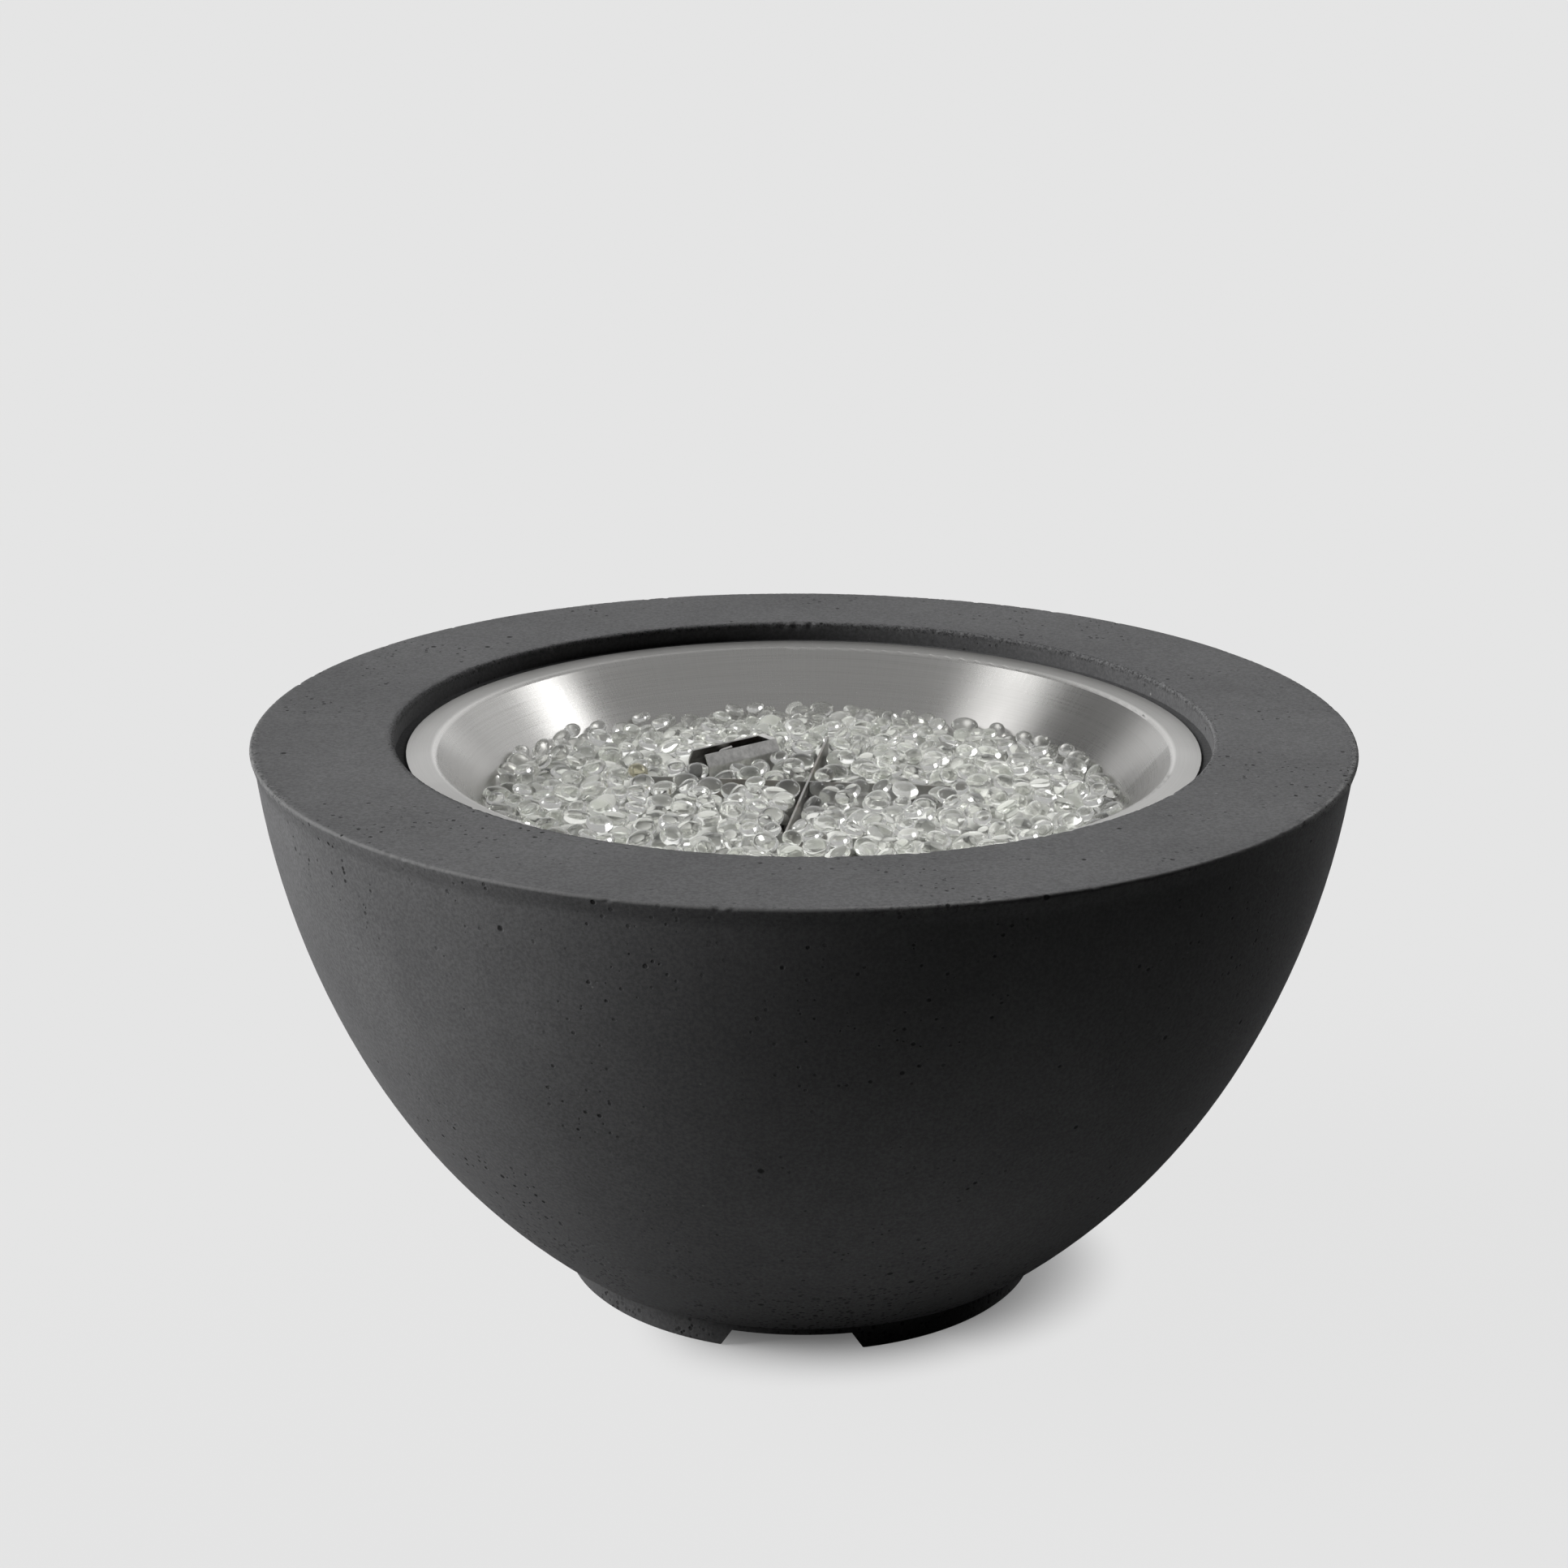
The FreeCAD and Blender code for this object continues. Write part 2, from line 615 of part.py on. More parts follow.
def concrete_bowl():
    blank = outer_blank()
    boss = panel_block(BOSS_BORDER, PANEL_BACK_Y - BOSS_DEPTH, RIM_RADIUS, 0).common(blank)
    shell = revolved(shell_section()).fuse(boss).removeSplitter()
    cuts = [
        panel_block(POCKET_GAP, PANEL_BACK_Y, RIM_RADIUS, PANEL_CORNER_ROUND + POCKET_GAP),
        panel_block(-WINDOW_BORDER, PANEL_BACK_Y - 2 * BOSS_DEPTH, PANEL_BACK_Y, 0),
    ]
    cuts += foot_notches()
    cuts += [cylinder(INSERT_RADIUS, INSERT_LENGTH, seat, FRONT) for seat in panel_seats()]
    screw_depth = INLET_SCREW_LENGTH - INLET_SHEET
    cuts += [cylinder(INLET_SCREW_RADIUS, screw_depth, p, DOWN) for p in inlet_screw_points()]
    return shell.cut(cuts)


# ---------------------------------------------------------------- burner pan and gems
def pan_skin():
    """The pan's upper skin from the flange's edge to the hole in its floor, and its bends."""
    points = [
        section_point(PAN_FLANGE_RADIUS, PAN_TOP),
        section_point(PAN_MOUTH_RADIUS, PAN_TOP),
        section_point(PAN_FLOOR_RADIUS, PAN_FLOOR),
        section_point(STUB_HOLE_RADIUS, PAN_FLOOR),
    ]
    return points, [PAN_FLANGE_BEND + PAN_SHEET, PAN_FLOOR_BEND]


def pilot_point(offset, height):
    """A point of the pilot group: offset along the hood, height above the pan's floor."""
    point = Vector(offset, PILOT_RADIUS, PAN_FLOOR + height)
    return FreeCAD.Rotation(UP, PILOT_ANGLE - 90.0).multVec(point)


def at_pilot(shape):
    """Moves a shape drawn with the hood along X, about the origin, to the pilot's place."""
    moved = shape.copy()
    moved.translate(Vector(0, PILOT_RADIUS, PAN_FLOOR))
    return turned(moved, PILOT_ANGLE - 90.0)


def pilot_screw_offsets():
    return [side * (BRACKET_LENGTH / 2 - PILOT_SCREW_INSET) for side in (-1, 1)]


def floor_hole(point, radius):
    """Drill for a hole through the pan's floor."""
    depth = 3 * PAN_SHEET
    return cylinder(radius, depth, Vector(point.x, point.y, PAN_FLOOR + PAN_SHEET), DOWN)


def burner_pan():
    points, radii = pan_skin()
    pan = revolved(sheet_face(points, radii, PAN_SHEET))
    holes = [
        floor_hole(pilot_point(0, 0), PILOT_BURNER_RADIUS + HOLE_CLEARANCE),
        floor_hole(pilot_point(THERMOCOUPLE_OFFSET, 0), THERMOCOUPLE_RADIUS + HOLE_CLEARANCE),
        floor_hole(pilot_point(ELECTRODE_OFFSET, 0), INSULATOR_RADIUS + HOLE_CLEARANCE),
    ]
    holes += [floor_hole(pilot_point(x, 0), PILOT_SCREW_RADIUS) for x in pilot_screw_offsets()]
    for number in range(DRAIN_COUNT):
        angle = math.radians(DRAIN_FIRST_ANGLE + number * FULL_TURN / DRAIN_COUNT)
        spot = Vector(DRAIN_CIRCLE_RADIUS * math.cos(angle), DRAIN_CIRCLE_RADIUS * math.sin(angle), 0)
        holes.append(floor_hole(spot, DRAIN_RADIUS))
    return pan.cut(holes)


def gem_bed():
    """The gems as one filled body, clear of the pan, the burner, the plates and the pilot."""
    inside_points = [
        section_point(0, PAN_FLOOR),
        section_point(PAN_FLOOR_RADIUS, PAN_FLOOR),
        section_point(PAN_MOUTH_RADIUS, PAN_TOP),
    ]
    outline = offset_points(inside_points, GEM_CLEARANCE)
    bend = PAN_FLOOR_BEND - GEM_CLEARANCE
    edge_height = PAN_FLOOR + GEM_HEIGHT_AT_WALL
    share = (edge_height - outline[1].z) / (outline[2].z - outline[1].z)
    wall_edge = outline[1] + (outline[2] - outline[1]) * share
    crown = section_point(0, PAN_FLOOR + GEM_HEIGHT_AT_CENTRE)
    edges = rounded_path([outline[0], outline[1], wall_edge, crown, outline[0]], [bend, 0, 0])
    bed = revolved(face_of(edges))
    return bed.cut(gem_clearances())


def gem_clearances():
    """What the gems leave free: the burner's arms, the upright plates and the hood."""
    room = []
    half_arm = ARM_RADIUS + GEM_CLEARANCE
    end = ARM_REACH + GEM_CLEARANCE
    top = ARM_TOP + GEM_CLEARANCE
    for angle in (CROSS_ANGLE, CROSS_ANGLE + 90.0):
        arm_room = block(Vector(-end, -half_arm, PAN_FLOOR), Vector(end, half_arm, top))
        room.append(turned(arm_room, angle))
    hub_height = ARM_TOP + GEM_CLEARANCE - PAN_FLOOR
    room.append(cylinder(HUB_RADIUS + GEM_CLEARANCE, hub_height, Vector(0, 0, PAN_FLOOR), UP))
    room.append(at_plate_a(plate_room(PLATE_A_LENGTH)))
    room.append(at_plate_b(plate_room(PLATE_B_LENGTH)))
    hood_x = HOOD_LENGTH / 2 + GEM_CLEARANCE
    hood_y = HOOD_WIDTH / 2 + GEM_CLEARANCE
    room.append(at_pilot(block(Vector(-hood_x, -hood_y, 0), Vector(hood_x, hood_y, HOOD_HEIGHT))))
    return room


def plate_room(length):
    half_plate = PLATE_SHEET / 2 + GEM_CLEARANCE
    reach = length / 2 + GEM_CLEARANCE
    low = Vector(-reach, -half_plate, PAN_FLOOR)
    high = Vector(reach, half_plate, PAN_FLOOR + PLATE_TOP_HEIGHT)
    return block(low, high)


# ---------------------------------------------------------------- burner
def burner_cross():
    """Four capped tubes on a hub, with ports through their sides and a threaded stub below."""
    centre = Vector(0, 0, PAN_FLOOR + ARM_AXIS_HEIGHT)
    outside = [
        cylinder(HUB_RADIUS, ARM_TOP - PAN_FLOOR - HUB_TOP_DROP, Vector(0, 0, PAN_FLOOR), UP),
        cylinder(STUB_RADIUS, STUB_LENGTH, Vector(0, 0, PAN_FLOOR), DOWN),
    ]
    inside = [cylinder(STUB_BORE_RADIUS, STUB_LENGTH + ARM_AXIS_HEIGHT, centre, DOWN)]
    ports = []
    for angle in (CROSS_ANGLE, CROSS_ANGLE + 90.0):
        along = Vector(math.cos(math.radians(angle)), math.sin(math.radians(angle)), 0)
        across = Vector(-along.y, along.x, 0)
        outside.append(cylinder(ARM_RADIUS, 2 * ARM_REACH, centre - along * ARM_REACH, along))
        inner_reach = ARM_REACH - ARM_WALL
        inner_radius = ARM_RADIUS - ARM_WALL
        inside.append(cylinder(inner_radius, 2 * inner_reach, centre - along * inner_reach, along))
        for number in range(PORTS_PER_ARM):
            distance = PORT_FIRST + number * PORT_PITCH
            for side in (-1, 1):
                start = centre + along * (side * distance) - across * (2 * ARM_RADIUS)
                ports.append(cylinder(PORT_RADIUS, 4 * ARM_RADIUS, start, across))
    body = outside[0].fuse(outside[1:]).removeSplitter()
    hollow = inside[0].fuse(inside[1:])
    return body.cut(hollow).cut(ports)


def at_plate_a(shape):
    """Turns a shape drawn along X to plate A's line, over the burner's first pair of arms."""
    return turned(shape, CROSS_ANGLE)


def at_plate_b(shape):
    """Turns a shape drawn along X to plate B's line, and moves it to the plates' crossing."""
    moved = turned(shape, CROSS_ANGLE + 90.0 + PLATE_B_TURN)
    moved.translate(FreeCAD.Rotation(UP, CROSS_ANGLE).multVec(Vector(PLATE_B_CROSSING, 0, 0)))
    return moved


def cross_plate(length, slot_place, slot_from_top):
    """An upright plate along X over the burner's arms, on two end legs, slotted for the other plate."""
    reach = length / 2
    leg = reach - PLATE_LEG_WIDTH
    top = PAN_FLOOR + PLATE_TOP_HEIGHT
    outline = [
        section_point(-reach, PAN_FLOOR),
        section_point(-leg, PAN_FLOOR),
        section_point(-leg, ARM_TOP),
        section_point(leg, ARM_TOP),
        section_point(leg, PAN_FLOOR),
        section_point(reach, PAN_FLOOR),
        section_point(reach, top),
        section_point(-reach, top),
    ]
    plate = polygon_face(outline).extrude(BACK * PLATE_SHEET)
    plate.translate(FRONT * (PLATE_SHEET / 2))
    middle = 0.5 * (ARM_TOP + top)
    half_slot = PLATE_SHEET / 2 + LAP_CLEARANCE
    slot_low = middle - LAP_CLEARANCE if slot_from_top else ARM_TOP
    slot_high = top if slot_from_top else middle + LAP_CLEARANCE
    slot = block(
        Vector(slot_place - half_slot, -PLATE_SHEET, slot_low),
        Vector(slot_place + half_slot, PLATE_SHEET, slot_high),
    )
    return plate.cut(slot)


def cross_plate_a():
    return at_plate_a(cross_plate(PLATE_A_LENGTH, PLATE_B_CROSSING, True))


def cross_plate_b():
    return at_plate_b(cross_plate(PLATE_B_LENGTH, 0.0, False))


def burner_gasket():
    start = Vector(0, 0, PAN_UNDERSIDE)
    return tube(GASKET_RADIUS, STUB_HOLE_RADIUS, GASKET_THICKNESS, start, DOWN)


def burner_nut():
    start = Vector(0, 0, PAN_UNDERSIDE - GASKET_THICKNESS)
    return nut(BURNER_NUT_FLATS, STUB_RADIUS + THREAD_CLEARANCE, BURNER_NUT_HEIGHT, start, DOWN)


def air_mixer():
    """An elbow on the burner's stub whose level arm draws air in through two side windows."""
    top = PAN_UNDERSIDE - GASKET_THICKNESS - BURNER_NUT_HEIGHT
    bottom = MIXER_Z - MIXER_ARM_RADIUS - MIXER_FLOOR
    body = cylinder(MIXER_RADIUS, top - bottom, Vector(0, 0, bottom), UP)
    arm = cylinder(MIXER_ARM_RADIUS, MIXER_REACH, Vector(0, 0, MIXER_Z), BACK)
    stub_end = PAN_FLOOR - STUB_LENGTH
    socket_radius = STUB_RADIUS + SOCKET_CLEARANCE
    socket = cylinder(socket_radius, top - stub_end, Vector(0, 0, stub_end), UP)
    shaft = cylinder(MIXER_BORE_RADIUS, stub_end - MIXER_Z, Vector(0, 0, MIXER_Z), UP)
    end_wall = ORIFICE_NOZZLE_LENGTH / 2
    bore = cylinder(MIXER_BORE_RADIUS, MIXER_REACH - end_wall, Vector(0, 0, MIXER_Z), BACK)
    mouth = cylinder(ORIFICE_RADIUS + SOCKET_CLEARANCE, MIXER_REACH, Vector(0, 0, MIXER_Z), BACK)
    window_end = MIXER_REACH - end_wall - MIXER_WINDOW_SETBACK
    half_height = MIXER_WINDOW_HEIGHT / 2
    window = block(
        Vector(-2 * MIXER_RADIUS, window_end - MIXER_WINDOW_LENGTH, MIXER_Z - half_height),
        Vector(2 * MIXER_RADIUS, window_end, MIXER_Z + half_height),
    )
    return body.fuse(arm).removeSplitter().cut([socket, shaft, bore, mouth, window])


def gas_orifice():
    """A brass spud: nozzle inside the mixer, hexagon at its mouth and a flare for the hose."""
    mouth = Vector(0, MIXER_REACH, MIXER_Z)
    nozzle = cylinder(ORIFICE_RADIUS, ORIFICE_NOZZLE_LENGTH, mouth, FRONT)
    flats = hexagon(ORIFICE_FLATS, ORIFICE_HEX_LENGTH, mouth, BACK)
    flare = cylinder(FLARE_RADIUS, FLARE_LENGTH, mouth + BACK * ORIFICE_HEX_LENGTH, BACK)
    feed_length = ORIFICE_HEX_LENGTH + FLARE_LENGTH + ORIFICE_NOZZLE_LENGTH / 2
    flare_end = mouth + BACK * (ORIFICE_HEX_LENGTH + FLARE_LENGTH)
    feed = cylinder(FLARE_RADIUS / 2, feed_length, flare_end, FRONT)
    jet = cylinder(ORIFICE_BORE_RADIUS, feed_length + ORIFICE_NOZZLE_LENGTH, flare_end, FRONT)
    return nozzle.fuse([flats, flare]).removeSplitter().cut([feed, jet])


# ---------------------------------------------------------------- pilot group
def hood_section():
    """The hood's bent sheet, open at the top: one side wall with its sloping shoulder."""
    half = HOOD_WIDTH / 2
    half_slot = HOOD_SLOT / 2
    points = [
        section_point(half, 0),
        section_point(half, HOOD_SHOULDER_HEIGHT),
        section_point(half_slot, HOOD_HEIGHT),
    ]
    return sheet_face(points, [HOOD_BEND + HOOD_SHEET], HOOD_SHEET)


def pilot_hood():
    """Two side walls whose shoulders lean over the pilot, joined by a wall at one end."""
    wall = hood_section()
    half_length = HOOD_LENGTH / 2
    walls = wall.extrude(BACK * HOOD_LENGTH)
    walls.translate(FRONT * half_length)
    other = walls.mirror(Vector(0, 0, 0), Vector(1, 0, 0))
    half = HOOD_WIDTH / 2
    half_slot = HOOD_SLOT / 2
    outline = [
        section_point(-half, 0),
        section_point(half, 0),
        section_point(half, HOOD_SHOULDER_HEIGHT),
        section_point(half_slot, HOOD_HEIGHT),
        section_point(-half_slot, HOOD_HEIGHT),
        section_point(-half, HOOD_SHOULDER_HEIGHT),
    ]
    end_wall = polygon_face(outline).extrude(BACK * HOOD_SHEET)
    end_wall.translate(BACK * (half_length - HOOD_SHEET))
    bridge = block(
        Vector(-half_slot, half_length - HOOD_BRIDGE, HOOD_HEIGHT - HOOD_SHEET),
        Vector(half_slot, half_length, HOOD_HEIGHT),
    )
    hood = walls.fuse([other, end_wall, bridge]).removeSplitter()
    hood.rotate(Vector(0, 0, 0), UP, -90.0)
    return at_pilot(hood)


def pilot_bracket():
    """A bridge with two feet on the pan's floor and a shelf that holds the pilot's parts."""
    half = BRACKET_LENGTH / 2
    inner = half - BRACKET_FOOT_WIDTH
    points = [
        section_point(half, 0),
        section_point(inner, 0),
        section_point(inner, BRACKET_SHELF_HEIGHT - BRACKET_SHEET),
        section_point(-inner, BRACKET_SHELF_HEIGHT - BRACKET_SHEET),
        section_point(-inner, 0),
        section_point(-half, 0),
    ]
    outer = BRACKET_BEND + BRACKET_SHEET
    section = sheet_face(points, [outer, BRACKET_BEND, BRACKET_BEND, outer], -BRACKET_SHEET)
    body = section.extrude(BACK * BRACKET_WIDTH)
    body.translate(FRONT * (BRACKET_WIDTH / 2))
    through = 2 * BRACKET_SHELF_HEIGHT
    holes = [
        cylinder(PILOT_BURNER_RADIUS + THREAD_CLEARANCE, through, Vector(0, 0, 0), UP),
        cylinder(THERMOCOUPLE_RADIUS + THREAD_CLEARANCE, through, Vector(THERMOCOUPLE_OFFSET, 0, 0), UP),
        cylinder(INSULATOR_RADIUS + THREAD_CLEARANCE, through, Vector(ELECTRODE_OFFSET, 0, 0), UP),
    ]
    holes += [
        cylinder(PILOT_SCREW_RADIUS + THREAD_CLEARANCE, through, Vector(x, 0, 0), UP)
        for x in pilot_screw_offsets()
    ]
    return at_pilot(body.cut(holes))


def pilot_screws():
    seats = [Vector(x, 0, BRACKET_SHEET) for x in pilot_screw_offsets()]
    screws = [
        screw(PILOT_SCREW_RADIUS, PILOT_SCREW_LENGTH, PILOT_SCREW_HEAD_RADIUS,
              PILOT_SCREW_HEAD_HEIGHT, seat, DOWN)
        for seat in seats
    ]
    return at_pilot(Part.makeCompound(screws))


def pilot_burner():
    """A small tube burner with a slotted head over the shelf and a threaded end under the pan."""
    low = Vector(0, 0, -PILOT_DROP)
    stem = cylinder(PILOT_BURNER_RADIUS, PILOT_DROP + PILOT_TOP_HEIGHT, low, UP)
    head_base = Vector(0, 0, PILOT_TOP_HEIGHT - PILOT_HEAD_HEIGHT)
    head = cylinder(PILOT_HEAD_RADIUS, PILOT_HEAD_HEIGHT, head_base, UP)
    collar = cylinder(PILOT_HEAD_RADIUS, PILOT_HEAD_HEIGHT / 2, Vector(0, 0, BRACKET_SHELF_HEIGHT), UP)
    bore_top = PILOT_TOP_HEIGHT - PILOT_HEAD_CAP
    bore = cylinder(PILOT_BURNER_RADIUS / 2, PILOT_DROP + bore_top, low, UP)
    half_slot = PILOT_SLOT_WIDTH / 2
    slot = block(
        Vector(-2 * PILOT_HEAD_RADIUS, -half_slot, PILOT_TOP_HEIGHT - PILOT_HEAD_HEIGHT / 2),
        Vector(2 * PILOT_HEAD_RADIUS, half_slot, bore_top),
    )
    return at_pilot(stem.fuse([head, collar]).removeSplitter().cut([bore, slot]))


def thermocouple():
    """A rod with a rounded tip, held by a collar on the shelf."""
    low = Vector(THERMOCOUPLE_OFFSET, 0, -PILOT_DROP)
    straight = PILOT_DROP + THERMOCOUPLE_TOP_HEIGHT - THERMOCOUPLE_RADIUS
    rod = cylinder(THERMOCOUPLE_RADIUS, straight, low, UP)
    tip = Part.makeSphere(THERMOCOUPLE_RADIUS, low + UP * straight)
    shelf = Vector(THERMOCOUPLE_OFFSET, 0, BRACKET_SHELF_HEIGHT)
    collar = cylinder(THERMOCOUPLE_COLLAR_RADIUS, PILOT_HEAD_HEIGHT / 2, shelf, UP)
    return at_pilot(rod.fuse([tip, collar]).removeSplitter())


def electrode_insulator():
    low = Vector(ELECTRODE_OFFSET, 0, -PILOT_DROP)
    body = cylinder(INSULATOR_RADIUS, PILOT_DROP + INSULATOR_TOP_HEIGHT, low, UP)
    shelf = Vector(ELECTRODE_OFFSET, 0, BRACKET_SHELF_HEIGHT)
    collar = cylinder(INSULATOR_COLLAR_RADIUS, INSULATOR_COLLAR_LENGTH, shelf, UP)
    length = PILOT_DROP + INSULATOR_TOP_HEIGHT
    bore = cylinder(ELECTRODE_RADIUS + THREAD_CLEARANCE, length, low, UP)
    return at_pilot(body.fuse(collar).removeSplitter().cut(bore))


def spark_electrode():
    """The wire in the insulator, bent over towards the pilot's head."""
    low = Vector(ELECTRODE_OFFSET, 0, -PILOT_DROP)
    bend = Vector(ELECTRODE_OFFSET, 0, INSULATOR_TOP_HEIGHT + ELECTRODE_RISE)
    tip = bend + Vector(ELECTRODE_REACH, 0, ELECTRODE_TIP_RISE)
    path = Part.Wire(rounded_path([low, bend, tip], [ELECTRODE_BEND]))
    return at_pilot(swept(path, ELECTRODE_RADIUS, low, UP))


# ---------------------------------------------------------------- control panel
def control_panel():
    plate = panel_block(0, PANEL_BACK_Y, PANEL_FACE_Y, PANEL_CORNER_ROUND)
    back = PANEL_SHEET * 2
    valve_hole = Vector(VALVE_X, PANEL_FACE_Y + PANEL_SHEET, PANEL_Z)
    igniter_hole = Vector(IGNITER_X, PANEL_FACE_Y + PANEL_SHEET, PANEL_Z)
    holes = [
        cylinder(NECK_RADIUS + THREAD_CLEARANCE, back + PANEL_SHEET, valve_hole, FRONT),
        cylinder(BARREL_RADIUS + THREAD_CLEARANCE, back + PANEL_SHEET, igniter_hole, FRONT),
    ]
    holes += [
        cylinder(PANEL_SCREW_RADIUS + THREAD_CLEARANCE, back, p + BACK, FRONT)
        for p in panel_corners(PANEL_SCREW_INSET)
    ]
    return plate.cut(holes)


def panel_screws():
    screws = [
        screw(PANEL_SCREW_RADIUS, PANEL_SCREW_LENGTH, PANEL_SCREW_HEAD_RADIUS,
              PANEL_SCREW_HEAD_HEIGHT, seat, FRONT)
        for seat in panel_corners(PANEL_SCREW_INSET)
    ]
    return Part.makeCompound(screws)


def panel_inserts():
    bore = PANEL_SCREW_RADIUS + THREAD_CLEARANCE
    inserts = [
        tube(INSERT_RADIUS - THREAD_CLEARANCE, bore, INSERT_LENGTH, seat, FRONT)
        for seat in panel_seats()
    ]
    return Part.makeCompound(inserts)


# ---------------------------------------------------------------- gas valve
def valve_port(name):
    """Centre of a port on the valve's rear face."""
    return Vector(VALVE_X + VALVE_PORT_X[name], VALVE_REAR_Y, PANEL_Z + VALVE_PORT_Z[name])


def port_size(name):
    small = name in ("pilot", "thermocouple")
    return (SMALL_PORT_RADIUS, SMALL_PORT_LENGTH) if small else (LARGE_PORT_RADIUS, LARGE_PORT_LENGTH)


def port_end(name):
    return valve_port(name) + FRONT * port_size(name)[1]


def gas_valve():
    half_width = VALVE_WIDTH / 2
    half_height = VALVE_HEIGHT / 2
    body = block(
        Vector(VALVE_X - half_width, VALVE_REAR_Y, PANEL_Z - half_height),
        Vector(VALVE_X + half_width, PANEL_BACK_Y, PANEL_Z + half_height),
    )
    body = body.makeFillet(VALVE_EDGE_ROUND, body.Edges)
    axis_start = Vector(VALVE_X, PANEL_BACK_Y, PANEL_Z)
    neck = cylinder(NECK_RADIUS, PANEL_SHEET + NECK_REACH + CAVITY_SETBACK,
                    axis_start + FRONT * CAVITY_SETBACK, BACK)
    ports = [cylinder(port_size(name)[0], port_size(name)[1] + VALVE_EDGE_ROUND,
                      valve_port(name) + BACK * VALVE_EDGE_ROUND, FRONT) for name in VALVE_PORT_X]
    stem_bore = cylinder(STEM_RADIUS + RUNNING_CLEARANCE, 2 * VALVE_DEPTH,
                         Vector(VALVE_X, STEM_BACK_Y, PANEL_Z), BACK)
    cavity = cylinder(CAVITY_RADIUS, CAVITY_LENGTH, Vector(VALVE_X, CAVITY_FRONT_Y, PANEL_Z), FRONT)
    return body.fuse([neck] + ports).removeSplitter().cut([stem_bore, cavity])


def valve_nut():
    start = Vector(VALVE_X, PANEL_FACE_Y, PANEL_Z)
    return nut(VALVE_NUT_FLATS, NECK_RADIUS + THREAD_CLEARANCE, VALVE_NUT_HEIGHT, start, BACK)


def valve_plunger():
    """The disc that the stem pushes in to open the safety seat."""
    front = Vector(VALVE_X, PLUNGER_FRONT_Y, PANEL_Z)
    disc = cylinder(CAVITY_RADIUS - RUNNING_CLEARANCE, PLUNGER_THICKNESS, front, FRONT)
    hub_start = front + FRONT * PLUNGER_THICKNESS
    hub = cylinder(PLUNGER_HUB_RADIUS, PLUNGER_HUB_LENGTH, hub_start, FRONT)
    return disc.fuse(hub).removeSplitter()


def valve_stem():
    """Round in the valve's neck, and with a flat where the knob grips it."""
    start = Vector(VALVE_X, STEM_BACK_Y, PANEL_Z)
    shaft = cylinder(STEM_RADIUS, STEM_FRONT_Y - STEM_BACK_Y, start, BACK)
    return shaft.cut(stem_flat(0))


def stem_flat(clearance):
    """The part of the round stem that its flat takes away, on the +X side."""
    face_x = VALVE_X + STEM_RADIUS - STEM_FLAT_DEPTH + clearance
    return block(
        Vector(face_x, KNOB_BACK_Y, PANEL_Z - 2 * STEM_RADIUS),
        Vector(face_x + 2 * STEM_RADIUS, KNOB_BACK_Y + KNOB_LENGTH, PANEL_Z + 2 * STEM_RADIUS),
    )


def knob_body():
    """The knob's turned outline, about the valve's axis, with its back recess."""
    front = KNOB_LENGTH
    outline = [
        section_point(KNOB_RECESS_RADIUS, 0),
        section_point(KNOB_RADIUS + KNOB_FLUTE_DEPTH, 0),
        section_point(KNOB_RADIUS + KNOB_FLUTE_DEPTH, KNOB_SKIRT),
        section_point(KNOB_RADIUS, KNOB_SKIRT),
        section_point(KNOB_RADIUS, front),
        section_point(0, front),
        section_point(0, KNOB_RECESS_DEPTH),
        section_point(KNOB_RECESS_RADIUS, KNOB_RECESS_DEPTH),
        section_point(KNOB_RECESS_RADIUS, 0),
    ]
    return revolved(face_of(rounded_path(outline, [0, 0, 0, KNOB_EDGE_ROUND, 0, 0, 0])))


def control_knob():
    """Fluted grip with a pointer groove, a stepped back and a D-shaped bore."""
    body = knob_body()
    cuts = []
    for number in range(KNOB_FLUTE_COUNT):
        angle = math.radians((number + 0.5) * FULL_TURN / KNOB_FLUTE_COUNT)
        centre_radius = KNOB_RADIUS + KNOB_FLUTE_RADIUS - KNOB_FLUTE_DEPTH
        start = Vector(centre_radius * math.cos(angle), centre_radius * math.sin(angle), KNOB_SKIRT)
        cuts.append(cylinder(KNOB_FLUTE_RADIUS, KNOB_LENGTH, start, UP))
    half_mark = KNOB_MARK_WIDTH / 2
    cuts.append(block(
        Vector(-half_mark, KNOB_MARK_START, KNOB_LENGTH - KNOB_MARK_DEPTH),
        Vector(half_mark, KNOB_RADIUS + KNOB_FLUTE_DEPTH, KNOB_LENGTH),
    ))
    body = body.cut(cuts)
    body.Placement = FreeCAD.Placement(
        Vector(VALVE_X, KNOB_BACK_Y, PANEL_Z),
        FreeCAD.Rotation(Vector(-1, 0, 0), UP, BACK, "ZYX"),
    )
    hub_start = Vector(VALVE_X, KNOB_BACK_Y, PANEL_Z)
    bore = cylinder(STEM_RADIUS + THREAD_CLEARANCE, KNOB_BORE_DEPTH, hub_start, BACK)
    bore = bore.cut(stem_flat(THREAD_CLEARANCE))
    return body.cut([bore, set_screw_hole()])


def set_screw_start():
    """The point on the stem's flat where the set screw bears."""
    height = 0.5 * (KNOB_RECESS_DEPTH + KNOB_BORE_DEPTH)
    x = VALVE_X + STEM_RADIUS - STEM_FLAT_DEPTH + THREAD_CLEARANCE
    return Vector(x, KNOB_BACK_Y + height, PANEL_Z)


def set_screw_hole():
    return cylinder(SET_SCREW_RADIUS + THREAD_CLEARANCE, 2 * KNOB_RADIUS, set_screw_start(), Vector(1, 0, 0))


def knob_set_screw():
    return cylinder(SET_SCREW_RADIUS, SET_SCREW_LENGTH, set_screw_start(), Vector(1, 0, 0))


# ---------------------------------------------------------------- igniter
def igniter_axis(y):
    return Vector(IGNITER_X, y, PANEL_Z)


